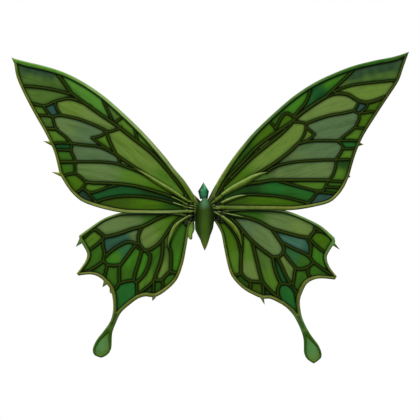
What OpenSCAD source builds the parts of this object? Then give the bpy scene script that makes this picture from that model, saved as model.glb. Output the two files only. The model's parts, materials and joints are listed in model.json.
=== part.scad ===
// Wearable fairy wings: two forewings and two tailed hindwings, each a rim, a web of
// veins and tinted panes, folding on hinge pins beside a spindle-shaped body that is
// carried on a padded back plate with elastic shoulder loops.
// X points to the viewer's right, +Y towards the wearer, +Z up. The origin is the middle
// of the back pad's face that rests on the wearer.

/* [Back plate and pad] */
// Thickness of the back pad
pad_t = 8; // [6:1:12]
// Thickness of the back plate
plate_t = 3; // [2.5:0.5:4]

/* [Wings] */
// Thickness of the round rim rods, front to back
rim_t = 5; // [4:0.5:6]
// Thickness of the veins, front to back
vein_t = 4; // [3:0.5:4]
// Thickness of the tinted panes
pane_t = 1; // [0.8:0.1:1.4]
// Width of the narrowest veins; the others widen in step
vein_w = 4.5; // [4.25:0.25:5]
// Thickness of the raised spar blades
spar_t = 2; // [1.5:0.5:2.5]
// Largest spacing of the points along a curved edge
curve_step = 9; // [6:1:12]

/* [Hinges] */
// Distance of each hinge pin from the middle
hinge_x = 27; // [26:0.5:28]
// Diameter of the hinge pins
pin_d = 3; // [2.5:0.5:3]
// Outer diameter of the hinge barrels
barrel_d = 9; // [8:0.5:9]
// Radial clearance of a pin in a turning barrel
pin_gap = 0.06; // [0.04:0.01:0.08]
// Gap between the ends of neighbouring knuckles
end_gap = 0.25; // [0.2:0.05:0.4]

/* [Body] */
// Radius of the spindle body at its widest
body_r = 18.5; // [17:0.5:19]
// Wall thickness of the body shell
shell_t = 2.4; // [2:0.2:3]

/* [Straps] */
// Width of the elastic shoulder loops
strap_w = 22; // [18:1:24]
// Thickness of the elastic
strap_t = 2; // [1.5:0.5:2]
// Distance of each shoulder loop from the middle
strap_x = 68; // [66:1:69]

/* [Hidden] */
$fn = 48;

// Depth positions, from the wearer's side towards the viewer
plate_back_y = -pad_t;
plate_front_y = plate_back_y - plate_t;
hind_y = plate_front_y - 2 - rim_t / 2;
hinge_y = hind_y - (rim_t + 1) / 2;
fore_y = hinge_y - (rim_t + 1) / 2;
fore_front_y = fore_y - rim_t / 2;

// Hinge heights: fixed knuckles, with the turning barrels between them
barrel_r = barrel_d / 2;
pin_r = pin_d / 2;
top_knuckle = [8, 12];
foot_knuckle = [-22.5, -19.5];
left_mid_knuckle = [-12, -9.8];
right_mid_knuckle = [-4.4, -2.1];
// Turning parts near a pin stay inside this radius, which clears the back plate, and fixed
// parts stay outside the other
swing_r = plate_front_y - hinge_y - 0.2;
clear_r = swing_r + 0.4;
// Half-width within which the wing panels keep clear of the fixed knuckles
keep_x = 32.3;

// Colours
stem_green = [0.47, 0.58, 0.20];
vein_green = [0.13, 0.20, 0.05];
leaf_green = [0.45, 0.60, 0.25];
sage = [0.40, 0.52, 0.28];
lime = [0.32, 0.48, 0.10];
grass = [0.20, 0.42, 0.10];
teal = [0.18, 0.45, 0.32];
deep_green = [0.10, 0.16, 0.05];

// ---- Smooth curves through chosen points -------------------------------------------

function xy(p) = [p[0], p[1]];
function flat(q) = [for (p = q) xy(p)];
function at(p, i) = p[min(max(i, 0), len(p) - 1)];
function between(a, b, c, d, t) =
  0.5 * (2 * b + (c - a) * t + (2 * a - 5 * b + 4 * c - d) * t * t + (3 * b - a - 3 * c + d) * t * t * t);
function steps(a, b) = max(1, ceil(norm(xy(b) - xy(a)) / curve_step));
function curve(p) = [
  for (i = [0 : len(p) - 2], k = [0 : steps(p[i], p[i + 1]) - 1])
    between(at(p, i - 1), p[i], p[i + 1], at(p, i + 2), k / steps(p[i], p[i + 1])),
  p[len(p) - 1]
];
function loop_at(p, i) = p[(i + len(p)) % len(p)];
function closed_curve(p) = [
  for (i = [0 : len(p) - 1], k = [0 : steps(p[i], loop_at(p, i + 1)) - 1])
    between(loop_at(p, i - 1), p[i], loop_at(p, i + 1), loop_at(p, i + 2), k / steps(p[i], loop_at(p, i + 1)))
];
function reversed(q) = [for (i = [len(q) - 1 : -1 : 0]) q[i]];
function heading(q, i) =
  let (d = xy(at(q, i + 1)) - xy(at(q, i - 1))) d / norm(d);
// The curve moved sideways by a share of its own width, which is each point's third number
function shifted(q, share) = [
  for (i = [0 : len(q) - 1])
    let (d = heading(q, i))
      [q[i][0] - share * q[i][2] * d[1], q[i][1] + share * q[i][2] * d[0]]
];
function with_width(p, w) = [for (a = p) [a[0], a[1], w]];
// The points of several edges in turn, each shared corner taken once
function last_of(q) = q[len(q) - 1];
function joined(edges) = [
  for (e = edges) let (q = flat(curve(e))) for (i = [0 : len(q) - 2]) q[i],
  xy(last_of(last_of(edges)))
];
function mirrored(p) = [for (a = p) [-a[0], a[1]]];

// A band of varying width centred on a curve
module stroke(points) {
  q = curve(points);
  polygon(concat(shifted(q, 0.5), reversed(shifted(q, -0.5))));
}

// A band of varying width lying on one side of an edge
module edge_band(points, side) {
  q = curve(points);
  polygon(concat(flat(q), reversed(shifted(q, side))));
}

// A flat panel in the X-Z plane, with its middle at depth y
module panel(y, t) {
  translate([0, y + t / 2, 0]) rotate([90, 0, 0]) linear_extrude(t) children();
}

module rect(x0, x1, z0, z1) {
  translate([x0, z0]) square([x1 - x0, z1 - z0]);
}

// ---- Left forewing -----------------------------------------------------------------

lf_edges = [
  [[-10, 14, 12], [-20, 27, 12], [-40, 57, 11], [-60, 80, 10], [-80, 106, 10], [-120, 151, 9],
   [-160, 190, 8.5], [-200, 225, 8], [-240, 252.5, 8], [-280, 273, 8.5], [-320, 286, 9.5],
   [-360, 295.5, 10], [-387, 303, 6]],
  [[-387, 303, 6], [-381, 292, 6], [-376, 265, 6], [-362, 232, 5.5], [-340, 190, 5.5],
   [-320, 155, 5.5], [-303, 120, 5.5], [-296, 97, 5.5], [-290, 70, 6]],
  [[-290, 70, 6], [-275, 45, 6], [-260, 27, 6], [-240, 12.5, 6.5], [-200, -0.5, 7],
   [-160, -8, 7], [-120, -9.3, 7], [-60, -9, 7], [-10, -7.5, 7]]
];
lf_thorns = [[[-302, 124], [-323, 136], [-306, 135]], [[-284, 63], [-306, 74], [-287, 73]]];
lf_gusset = [[-8, 16], [-24, 32], [-38, 44], [-41, 32], [-39, 20], [-44, 10], [-43, -6], [-8, -6]];
lf_veins = [
  [6, [[-303, 280], [-285, 258], [-266, 231]]],
  [6, [[-266, 231], [-246, 216], [-208, 189], [-175, 166], [-140, 139], [-105, 111],
       [-75, 79], [-48, 46], [-34, 26]]],
  [5, [[-366, 246], [-330, 243], [-300, 238], [-266, 229]]],
  [5, [[-352, 213], [-320, 206], [-296, 216], [-268, 220.5], [-240, 211], [-226, 204]]],
  [4.5, [[-322, 205], [-316, 196], [-308, 186]]],
  [4.5, [[-340, 188], [-320, 187], [-302, 184]]],
  [4.5, [[-298, 216], [-297, 205], [-293, 196], [-286, 187]]],
  [5, [[-303, 184], [-288, 187], [-250, 179], [-212, 164], [-197, 156]]],
  [4.5, [[-199, 155], [-188, 155], [-172, 160], [-165, 163]]],
  [4.5, [[-303, 185], [-302, 175], [-295, 158], [-280, 146], [-264, 130]]],
  [6, [[-322, 161], [-293, 159]]],
  [4.5, [[-308, 131], [-285, 132], [-263, 131]]],
  [4.5, [[-303, 118], [-285, 118], [-268, 117]]],
  [4.5, [[-264, 132], [-267, 118], [-263, 107], [-257, 94]]],
  [6, [[-295, 94], [-256, 94]]],
  [4.5, [[-257, 95], [-259, 85], [-258, 69]]],
  [4.5, [[-289, 62], [-276, 68], [-258, 71]]],
  [4.5, [[-258, 71], [-246, 62], [-236, 52]]],
  [4.5, [[-235, 54], [-242, 44], [-250, 36], [-262, 29]]],
  [4.5, [[-241, 41], [-224, 22], [-215, 10]]],
  [5.5, [[-237, 55], [-225, 52], [-185, 51], [-140, 46], [-95, 34], [-60, 22], [-36, 11]]],
  [4.5, [[-245, 42], [-230, 33], [-215, 35], [-190, 44], [-163, 50]]],
  [4.5, [[-222, 11], [-205, 18], [-170, 25], [-130, 25], [-90, 19], [-50, 8], [-36, 5]]],
  [4.5, [[-266, 131], [-240, 128], [-210, 124], [-180, 110]]],
  [4.5, [[-196, 156], [-205, 147], [-225, 142]]],
  [5.5, [[-197, 157], [-191, 138], [-177, 109]]],
  [4.5, [[-226, 143], [-212, 132], [-188, 116]]],
  [5.5, [[-180, 111], [-155, 93], [-118, 69], [-80, 45], [-45, 22], [-33, 14]]],
  [4.5, [[-178, 110], [-170, 99], [-172, 89]]],
  [4.5, [[-259, 94], [-215, 94], [-180, 91], [-143, 79], [-120, 69]]],
  [4.5, [[-203, 218], [-197, 203], [-184, 178]]],
  [4.5, [[-160, 188], [-168, 180], [-180, 173]]],
  [4.5, [[-140, 162], [-137, 149], [-134, 138]]]
];
lf_spars = [[[-138, 81, 1], [-118, 69, 6], [-98, 56, 8.5], [-80, 45, 9], [-60, 33, 8], [-45, 23, 6], [-34, 16, 4]]];
lf_split_high = [[-303, 280], [-285, 258], [-266, 231], [-246, 216], [-208, 189], [-175, 166],
                 [-140, 139], [-105, 111], [-75, 79], [-48, 46], [-34, 26], [-8, 10]];
lf_split_low = [[-322, 161], [-299, 160], [-280, 146], [-264, 130.5], [-240, 128], [-210, 124],
                [-180, 110.5], [-155, 93], [-118, 69], [-80, 45], [-45, 22], [-33, 14], [-8, 0]];

// ---- Right forewing ----------------------------------------------------------------

rf_edges = [
  [[7, 20, 10], [20, 45, 10], [40, 78, 9.5], [60, 107, 9], [80, 132, 8.5], [100, 155, 8],
   [140, 193, 7.5], [180, 227, 7.5], [220, 253, 7.5], [260, 272, 8], [300, 287, 8.5],
   [340, 297, 9], [380, 305, 9], [409, 314.5, 5]],
  [[409, 314.5, 5], [403, 298, 5], [397, 281, 5], [387, 254, 5.5], [360, 213, 5.5], [340, 182, 5.5],
   [320, 150, 5.5], [308, 125, 5.5], [299, 100, 5.5], [290, 68, 5.5]],
  [[290, 68, 5.5], [280, 45, 6], [267, 27, 6], [250, 13, 6], [220, 4.5, 6.5], [180, -2, 7.5],
   [140, -2.5, 8.5], [100, -2, 8.5], [60, -1.5, 8.5], [8, -1, 8]]
];
rf_thorns = [[[309, 134], [318, 129], [304, 124]], [[287, 72], [292, 64], [283, 61]]];
rf_gusset = [[6, 18], [22, 48], [31, 62], [38, 46], [36, 30], [37, 16], [40, 6], [8, 4]];
rf_veins = [
  [6, [[26, 28], [45, 60], [75, 92], [105, 124], [140, 150], [176, 174]]],
  [5.5, [[40, 48], [60, 68], [90, 98], [120, 123], [150, 147], [173, 169]]],
  [4.5, [[126, 180], [142, 162]]],
  [5, [[142, 158], [148, 172], [157, 187], [167, 191.5], [179, 183]]],
  [5, [[176, 182], [190, 198], [203, 214], [211, 235], [216, 254]]],
  [6.5, [[174, 172], [190, 188], [222, 211], [255, 229], [285, 229], [308, 216], [330, 213], [366, 226]]],
  [5, [[307, 290], [290, 270], [265, 246], [243, 226]]],
  [4.5, [[252, 232], [290, 246], [330, 252], [388, 258]]],
  [4.5, [[327, 214], [324, 203], [310, 191]]],
  [4.5, [[309, 217], [305, 206], [298, 195]]],
  [4.5, [[298, 197], [310, 191], [330, 194], [350, 194]]],
  [5, [[202, 170], [228, 180], [252, 187], [280, 192], [301, 197]]],
  [4.5, [[174, 173], [190, 174], [205, 170]]],
  [4.5, [[309, 192], [309, 180], [300, 162], [280, 146], [266, 133]]],
  [4.5, [[301, 162], [330, 161]]],
  [4.5, [[266, 136], [290, 137], [316, 135]]],
  [4.5, [[275, 120], [309, 121]]],
  [4.5, [[266, 136], [277, 125], [271, 110], [261, 97]]],
  [4.5, [[261, 98], [300, 99]]],
  [4.5, [[262, 99], [263, 88], [257, 68], [247, 56]]],
  [4.5, [[247, 56], [284, 54]]],
  [4.5, [[244, 44], [274, 42]]],
  [4.5, [[246, 58], [244, 48], [238, 37], [230, 32]]],
  [4.5, [[221, 32], [240, 32.5], [268, 30]]],
  [4.5, [[225, 33], [217, 21], [200, 5]]],
  [6, [[68, 46], [84, 49.5], [98, 51.5], [112, 53], [135, 57], [180, 57.5], [249, 57.5]]],
  [4.5, [[143, 57], [165, 51], [195, 43], [222, 36], [240, 37]]],
  [4.5, [[36, 12], [60, 22.5], [80, 28], [115, 28], [155, 24], [190, 16], [212, 10]]],
  [4.5, [[190, 131], [220, 136], [268, 136]]],
  [4.5, [[202, 164], [212, 156], [221, 148]]],
  [4.5, [[221, 150], [208, 138], [190, 130]]],
  [4.5, [[204, 171], [200, 150], [187, 129]]],
  [5.5, [[191, 134], [165, 110], [135, 88], [106, 70], [80, 53], [60, 43], [38, 29]]],
  [4.5, [[123, 72], [140, 84], [175, 93], [220, 97], [263, 98]]]
];
rf_spars = [
  [[33.5, 26.5, 7], [45, 34, 10], [60, 43, 12], [80, 53, 13], [95, 62, 11], [110, 69, 7], [125, 73.5, 1]],
  [[33.5, 11.5, 5], [45, 17, 7], [60, 22.5, 7], [72, 26, 5], [84, 27.5, 1]]
];
rf_split_high = [[307, 290], [290, 270], [265, 246], [243, 226], [222, 211], [190, 188],
                 [174, 172], [140, 150], [105, 124], [75, 92], [45, 60], [26, 28], [8, 5]];
rf_split_low = [[330, 161], [301, 162], [280, 146], [266, 135], [220, 136], [190, 131.5],
                [165, 110], [135, 88], [106, 70], [80, 53], [60, 43], [38, 29], [8, 4]];

// ---- Left hindwing -----------------------------------------------------------------

lh_edges = [
  [[-8, -12.6, 6], [-32, -12.6, 6], [-48, -8, 6], [-70, -5.5, 6], [-110, -5, 6], [-145, -5.5, 6], [-170, -8, 5.5],
   [-200, -18, 5.5], [-225, -34, 6], [-251, -53, 7]],
  [[-251, -53, 7], [-250, -62, 7], [-238, -82, 7], [-235, -93, 7], [-240, -107, 6], [-256, -129, 5]],
  [[-256, -129, 5], [-252.5, -133.5, 5]],
  [[-252.5, -133.5, 5.5], [-228, -131, 5.5], [-212, -136, 6.5], [-201, -145, 7], [-191, -157, 8],
   [-185, -173, 8], [-183, -200, 7.5], [-188, -223, 9], [-201, -243, 9], [-216, -262, 6], [-224, -281, 5.5],
   [-220, -293, 5.5], [-207, -298, 5.5]],
  [[-207, -298, 5.5], [-196, -293, 5.5], [-187, -280, 5], [-185, -250, 8],
   [-179, -232, 9], [-170, -212, 8.5], [-162, -202, 7], [-150, -192, 7.5], [-133, -179.5, 7.5], [-117, -175, 8],
   [-100, -177, 8], [-80, -166, 7], [-60, -148, 6.5], [-50, -131, 6], [-42, -106, 6], [-37, -80, 5.5],
   [-33, -56, 5.5], [-30.5, -38, 5], [-26, -23, 5], [-12, -14, 4]]
];
lh_thorns = [
  [[-250, -58], [-258, -76], [-246, -69]], [[-202, -144], [-204.5, -157], [-195, -151]],
  [[-190, -159], [-190, -167], [-185, -170]], [[-105, -175], [-104.5, -184.5], [-97, -177]]
];
lh_gusset = [[-8, -10], [-34, -14], [-49, -11], [-44, -24], [-38, -34], [-29, -30], [-10, -18]];
lh_veins = [
  [6, [[-203, -57], [-175, -51], [-145, -40.5], [-122, -35]]],
  [6, [[-126, -36], [-113, -30], [-95, -20], [-76, -12], [-60, -7]]],
  [5.5, [[-124, -34], [-132, -52], [-131, -70], [-119, -84]]],
  [5.5, [[-119, -84], [-106, -80], [-90, -68], [-77, -51], [-65, -33], [-50, -19], [-38, -11]]],
  [5.5, [[-203, -100], [-190, -87], [-170, -73], [-152, -66], [-130, -72]]],
  [7, [[-242, -58], [-235, -50], [-222, -41], [-212, -46], [-198, -58]]],
  [5, [[-200, -57], [-215, -71], [-234, -85]]],
  [5.5, [[-204, -63], [-203, -76], [-200, -88], [-203, -106]]],
  [5.5, [[-200, -103], [-212, -112], [-232, -124], [-250, -129]]],
  [5, [[-203, -106], [-195, -112], [-198, -125], [-200, -138]]],
  [5.5, [[-197, -112], [-180, -113.5], [-168, -112]]],
  [5.5, [[-170, -115], [-158, -99], [-146, -83], [-138, -72]]],
  [5.5, [[-170, -112], [-171, -132], [-171, -149], [-180, -162]]],
  [5.5, [[-137, -74], [-126, -82], [-115, -84]]],
  [6, [[-141, -71], [-125, -78]]],
  [6, [[-125, -82], [-131, -104], [-138, -126], [-142, -146]]],
  [5, [[-172, -150], [-160, -146], [-141, -143], [-136, -149], [-135, -173]]],
  [6, [[-119, -84], [-109, -93], [-112, -112], [-122, -133], [-137, -148]]],
  [6, [[-84, -62], [-84, -84], [-88, -107], [-97, -132], [-101, -144]]],
  [6, [[-72, -74], [-67, -92], [-68, -126]]],
  [6, [[-72, -130], [-63, -127], [-48, -130]]],
  [6, [[-103, -142], [-87, -143], [-78, -134], [-67, -124]]],
  [5, [[-85, -142], [-83, -154], [-87, -168]]],
  [5, [[-101, -142], [-102, -155], [-103, -174]]],
  [5, [[-100, -143], [-115, -157], [-137, -174]]],
  [5, [[-72, -78], [-69, -58], [-58, -35], [-40, -20]]]
];
lh_spars = [[[-33.5, -15.5, 4], [-48, -25, 6.5], [-58, -35, 9], [-64, -46, 9], [-69, -58, 7], [-72, -68, 4], [-72.5, -79, 1]]];
lh_split = [[-262, -132], [-232, -124], [-212, -112], [-202, -101], [-190, -87], [-170, -73], [-152, -66],
            [-130, -72], [-119, -84], [-106, -80], [-90, -68], [-77, -51], [-65, -33], [-50, -19],
            [-38, -11], [-8, -8]];
lh_paddle = [[-240, -246], [-160, -246], [-160, -310], [-240, -310]];

// ---- Right hindwing ----------------------------------------------------------------

rh_edges = [
  [[8, -4.7, 6], [32, -4.7, 6], [48, -0.5, 6], [70, 1.5, 6], [110, 2, 6], [145, 0, 6], [170, -5, 6],
   [205, -19, 6], [235, -35, 6.5], [260, -57, 8]],
  [[260, -57, 8], [262, -65, 8], [248, -88, 7], [245, -99, 7], [250, -115, 6], [265, -135, 5]],
  [[265, -135, 5], [261, -141.5, 5]],
  [[261, -141.5, 5.5], [235, -139, 6], [219, -141.5, 7], [205, -150, 8], [196, -167, 9],
   [191, -184, 8], [193, -206, 7], [198, -224, 8], [211, -249, 8.5], [229, -274, 5], [234.5, -290, 5],
   [232, -300, 5], [219, -309.5, 5]],
  [[219, -309.5, 5], [207, -302, 5], [199.5, -289, 5], [198.5, -262, 6], [192, -240, 9],
   [178, -213, 8.5], [162, -196, 7], [147, -187, 7], [131, -179.8, 7], [118, -180, 7], [103, -174.5, 7],
   [80, -162, 6.5], [62, -145, 6], [51, -128, 6], [44, -102, 5.5], [38, -72, 5.5], [33.5, -49, 5],
   [26, -34, 5], [20, -25, 5], [12, -16, 4]]
];
rh_thorns = [[[260, -66], [271, -81.5], [255, -72]], [[109, -174], [120.5, -192], [119, -176]]];
rh_gusset = [[8, -2], [34, -7], [54, -7], [50, -14], [44, -22], [34, -28], [24, -27], [10, -18]];
rh_veins = [
  [6, [[212, -58], [190, -55], [160, -47], [134, -39], [110, -26], [86, -18], [60, -15], [44, -14]]],
  [6.5, [[208, -59], [218, -48], [228, -32]]],
  [5, [[207, -56], [223, -73], [240, -87]]],
  [9, [[218, -42], [236, -44], [257, -56]]],
  [5.5, [[156, -68], [178, -79], [206, -93], [220, -109]]],
  [6, [[205, -58], [213, -74], [211, -98]]],
  [5, [[217, -106], [235, -119], [256, -133], [263, -138]]],
  [5.5, [[221, -107], [208, -116], [207, -128], [213, -142]]],
  [6, [[134, -39], [146, -56], [156, -71], [159, -84], [149, -96], [134, -96]]],
  [6, [[138, -98], [116, -82], [96, -65], [79, -47], [66, -31], [50, -16]]],
  [5.5, [[157, -86], [170, -103], [184, -120]]],
  [5.5, [[180, -119], [195, -121], [210, -116]]],
  [5.5, [[182, -118], [179, -140], [177, -155], [188, -172]]],
  [6, [[145, -95], [154, -114], [163, -134], [177, -158]]],
  [6, [[136, -94], [140, -116], [147, -137], [154, -151]]],
  [5, [[150, -152], [160, -149.5], [172, -154], [182, -168], [184, -186]]],
  [6, [[94, -62], [101, -88], [110, -126], [117, -147], [131, -163], [150, -180]]],
  [5.5, [[153, -149], [147, -160], [148, -175], [153, -184]]],
  [5.5, [[75, -46], [75, -72], [73, -100], [73, -132]]],
  [5.5, [[73, -128], [82, -139], [94, -145], [118, -146]]],
  [5.5, [[55, -134], [67, -132], [75, -130]]],
  [7.5, [[40, -23], [56, -41], [68, -62], [74, -86]]],
  [5.5, [[88, -141], [92, -150], [91, -168]]],
  [5.5, [[116, -146], [118, -160], [118, -175]]],
  [5, [[75, -74], [68, -51], [55, -32], [40, -19]]],
  [4, [[36, -8], [62, -13], [84, -17]]]
];
rh_spars = [
  [[33.5, -14, 5], [45, -23, 8], [55, -32, 9], [62, -41, 9], [68, -51, 7.5], [72, -62, 4.5], [74.5, -75, 1]],
  [[37, -7.5, 1.5], [50, -10.5, 3.5], [62, -13, 4], [72, -15, 3], [80, -16.5, 1]]
];
rh_split = [[272, -137], [256, -133], [235, -119], [219, -107], [206, -93], [178, -79], [158, -70],
            [159, -84], [149, -96], [134, -96], [116, -82], [96, -65], [79, -47], [66, -31], [50, -16],
            [8, -2]];
rh_paddle = [[160, -250], [260, -250], [260, -320], [160, -320]];

// ---- Shapes shared by the four wings ------------------------------------------------

// The whole silhouette of a wing, without its thorns
module outline(edges) {
  polygon(joined(edges));
}

// The rim rods all round a wing, with its thorns; side is 1 on the left and -1 on the right
module rim_bands(edges, thorns, side) {
  intersection() {
    union() for (e = edges) edge_band(e, side);
    outline(edges);
  }
  for (t = thorns) polygon(t);
}

module vein_strokes(veins, gusset) {
  for (v = veins) stroke(with_width(v[1], v[0] * vein_w / 4.5));
  polygon(gusset);
}

// Everything between the rims, cut back to the moving side of the hinge
module moving_forewing(side) {
  difference() {
    children();
    rect(-20.9, 20.9, -40, 60);
    rect(min(0, -side * keep_x), max(0, -side * keep_x), -40, top_knuckle[1] + end_gap + 0.1);
  }
}

module moving_hindwing(side) {
  difference() {
    children();
    rect(min(0, -side * keep_x), max(0, -side * keep_x), foot_knuckle[0] - end_gap, 10);
    rect(-20.9, 20.9, -60, 10);
  }
}

// Keeps turning parts on the inner side of the pin inside the swing radius
module within_swing(side) {
  intersection() {
    children();
    union() {
      translate([-side * hinge_x, hinge_y, -400]) cylinder(r = swing_r, h = 800);
      translate([side > 0 ? -500 : hinge_x, -60, -400]) cube([500 - hinge_x, 60, 800]);
    }
  }
}

module forewing_rim(edges, thorns, side) {
  within_swing(side) panel(fore_y, rim_t) moving_forewing(side) rim_bands(edges, thorns, side);
}

module forewing_veins(edges, veins, gusset, side) {
  within_swing(side) panel(fore_y, vein_t) moving_forewing(side) difference() {
    intersection() {
      union() vein_strokes(veins, gusset);
      outline(edges);
    }
    rim_bands(edges, [], side);
  }
}

// A wing's open field between its rims and veins
module field(edges, veins, gusset, side) {
  difference() {
    outline(edges);
    rim_bands(edges, [], side);
    vein_strokes(veins, gusset);
  }
}

// The part of the plane above a curved line, or below it
module above(line) {
  n = len(line) - 1;
  polygon(concat(curve(line), [[line[n][0], 400], [line[0][0], 400]]));
}

module below(line) {
  n = len(line) - 1;
  polygon(concat(curve(line), [[line[n][0], -400], [line[0][0], -400]]));
}

// ---- Fixed root: pad, plate, hinge block, body ---------------------------------------

plate_half = [[0, 13], [14, 14], [36, 36], [57, 60], [66, 64], [78, 61], [80, 50], [58, 28], [37, 7],
              [35, -6], [48, -28], [66, -48], [80, -66], [77, -80], [64, -83], [50, -77], [42, -58],
              [35, -41], [22, -25], [12, -28], [0, -31]];
pad_half = [[0, 10], [16, 11], [30, 22], [42, 25], [48, 12], [45, -6], [48, -24], [42, -37],
            [33, -34], [23, -22], [12, -24], [0, -27]];
harness_hole_d = 4.5;
harness_x = 52;
harness_z = [-52, 38];
plate_screw_at = [[-10, 9], [10, 9], [-10, -19], [10, -19]];
shell_screw_at = [[0, 2], [0, -16]];
block_w = 30;
block_z = [-26, 16];
block_front_y = hinge_y - 1.5;
web_front_y = fore_front_y + 2;
body_y = -28;
body_x = 0.5;
// Half the body's width, as a share of body_r, and the height it is found at
body_profile = [
  for (p = [[0.03, 22.6], [0.27, 20], [0.46, 15], [0.62, 10], [0.82, 4], [0.96, -2], [1, -8], [0.98, -17],
            [0.91, -27], [0.81, -37], [0.69, -47], [0.55, -57], [0.38, -67], [0.195, -76], [0.03, -82.6]])
    [p[0] * body_r, p[1]]
];
finial_at = [-2, -15.5];

module both_halves(half) {
  polygon(closed_curve(concat(half, reversed(mirrored([for (i = [1 : len(half) - 2]) half[i]])))));
}

module along_y(x, z, y0, y1, r) {
  translate([x, y1, z]) rotate([90, 0, 0]) cylinder(r = r, h = y1 - y0);
}

module rivet_places() {
  for (side = [-1, 1], dx = [-6, 6], z = [51, -76]) translate([side * strap_x + dx, 0, z]) children();
}

module back_plate() {
  color("darkolivegreen") difference() {
    panel((plate_back_y + plate_front_y) / 2, plate_t) both_halves(plate_half);
    for (p = plate_screw_at) {
      along_y(p[0], p[1], -40, 0, 2.1);
      translate([p[0], plate_back_y, p[1]]) rotate([90, 0, 0]) cylinder(r1 = 4.1, r2 = 2.1, h = 2);
    }
    for (p = shell_screw_at) {
      along_y(p[0], p[1], -40, 0, 1.6);
      translate([p[0], plate_back_y, p[1]]) rotate([90, 0, 0]) cylinder(r1 = 3.3, r2 = 1.6, h = 1.7);
    }
    for (side = [-1, 1], z = harness_z) along_y(side * harness_x, z, -40, 0, harness_hole_d / 2);
    rivet_places() along_y(0, 0, -40, 0, 2.05);
  }
}

module back_pad() {
  color("dimgray") panel(-pad_t / 2, pad_t) both_halves(pad_half);
}

module hinge_block() {
  color(deep_green) difference() {
    union() {
      translate([-block_w / 2, block_front_y, block_z[0]])
        cube([block_w, plate_front_y - block_front_y, block_z[1] - block_z[0]]);
      for (side = [-1, 1], k = [top_knuckle, side < 0 ? left_mid_knuckle : right_mid_knuckle, foot_knuckle]) {
        translate([side * hinge_x, hinge_y, k[0]]) cylinder(r = barrel_r, h = k[1] - k[0]);
        translate([side > 0 ? block_w / 2 - 1 : -hinge_x, block_front_y, k[0]])
          cube([hinge_x - block_w / 2 + 1, 5, k[1] - k[0]]);
      }
    }
    for (side = [-1, 1]) translate([side * hinge_x, hinge_y, -40]) cylinder(r = pin_r, h = 80);
    for (p = plate_screw_at) along_y(p[0], p[1], block_front_y + 1.2, 0, 2.1);
    for (p = shell_screw_at) along_y(p[0], p[1], -40, 0, 1.6);
    translate([finial_at[0], finial_at[1], 9]) cylinder(r = 3.05, h = 20);
  }
}

module hinge_pin(side) {
  color("silver") translate([side * hinge_x, hinge_y, foot_knuckle[0]])
    cylinder(r = pin_r, h = top_knuckle[1] - foot_knuckle[0]);
}

module left_hinge_pin() {
  hinge_pin(-1);
}

module right_hinge_pin() {
  hinge_pin(1);
}

// The inner ends of every wing's ribs, which stay with the body
module inner_ends() {
  intersection() {
    children();
    rect(-20.8, 20.8, -60, 60);
  }
}

// The shadowed plate behind the body, which follows it down on both sides
back_leaf = [[-19.3, -8], [-19.3, -30], [-18.8, -41], [-13.5, -52], [-6, -66], [5, -64], [13, -50], [17.4, -38],
             [19.1, -26], [19.4, -8]];

module body_back() {
  q = curve(body_profile);
  polygon([for (p = concat(q, reversed(mirrored(q)))) if (p[1] < 18) [body_x + p[0] * 0.9, p[1] + 1]]);
  polygon(back_leaf);
}

module root_ribs() {
  color(vein_green) difference() {
    union() {
      panel((block_front_y + web_front_y) / 2, block_front_y - web_front_y) {
        inner_ends() {
          outline(lf_edges);
          outline(rf_edges);
          outline(lh_edges);
          outline(rh_edges);
        }
        body_back();
      }
      panel((fore_front_y + web_front_y) / 2, web_front_y - fore_front_y) {
        inner_ends() {
          rim_bands(lf_edges, [], 1);
          rim_bands(rf_edges, [], -1);
          polygon(lf_gusset);
          polygon(rf_gusset);
          polygon(lh_gusset);
          polygon(rh_gusset);
        }
        body_back();
      }
    }
    for (side = [-1, 1]) translate([side * hinge_x, hinge_y, -100]) cylinder(r = clear_r, h = 200);
    for (p = shell_screw_at) along_y(p[0], p[1], -40, 0, 1.6);
  }
}

module spindle(wall) {
  q = curve(body_profile);
  inner = [for (p = q) if (p[0] - wall > 0.4) [p[0] - wall, p[1]]];
  n = len(inner) - 1;
  translate([body_x, body_y, 0]) rotate_extrude($fn = 96)
    polygon(concat([[0, inner[0][1]]], inner, [[0, inner[n][1]]]));
}

module body_shell() {
  color("olivedrab") difference() {
    union() {
      difference() {
        spindle(0);
        spindle(shell_t);
      }
      intersection() {
        spindle(shell_t / 2);
        for (p = shell_screw_at) along_y(p[0], p[1], -60, fore_front_y, 4.2);
      }
    }
    translate([-50, fore_front_y, -100]) cube([100, 60, 200]);
    for (p = shell_screw_at) along_y(p[0], p[1], -38, 0, 1.6);
  }
}

// A faceted bud on a round spigot that stands in the top of the hinge block
module head_finial() {
  n = 8;
  ring = function (cx, rx, ry, z) [for (k = [0 : n - 1]) [cx + rx * cos(k * 360 / n), ry * sin(k * 360 / n), z]];
  foot = ring(-1.2, 7.6, 4, 20);
  girdle = ring(-2, 11, 7, 35.5);
  points = concat(foot, girdle, [[-2, 0, 53.5]]);
  faces = concat(
    [[for (k = [0 : n - 1]) k]],
    [for (k = [0 : n - 1]) [(k + 1) % n, k, n + k, n + (k + 1) % n]],
    [for (k = [0 : n - 1]) [n + (k + 1) % n, n + k, 2 * n]]
  );
  color(teal) {
    translate([0, finial_at[1], 0]) polyhedron(points, faces);
    translate([finial_at[0], finial_at[1], 10]) cylinder(r = 3, h = 11);
  }
}

module countersunk(x, z, r, head_r, head_h, tip_y) {
  along_y(x, z, tip_y, plate_back_y - 0.1, r);
  translate([x, plate_back_y - 0.1, z]) rotate([90, 0, 0]) cylinder(r1 = head_r, r2 = r, h = head_h);
}

module plate_screws() {
  color("silver") for (p = plate_screw_at) countersunk(p[0], p[1], 2, 3.9, 1.8, block_front_y + 1.5);
}

module shell_screws() {
  color("silver") for (p = shell_screw_at) countersunk(p[0], p[1], 1.5, 3.1, 1.5, -37.5);
}

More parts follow.
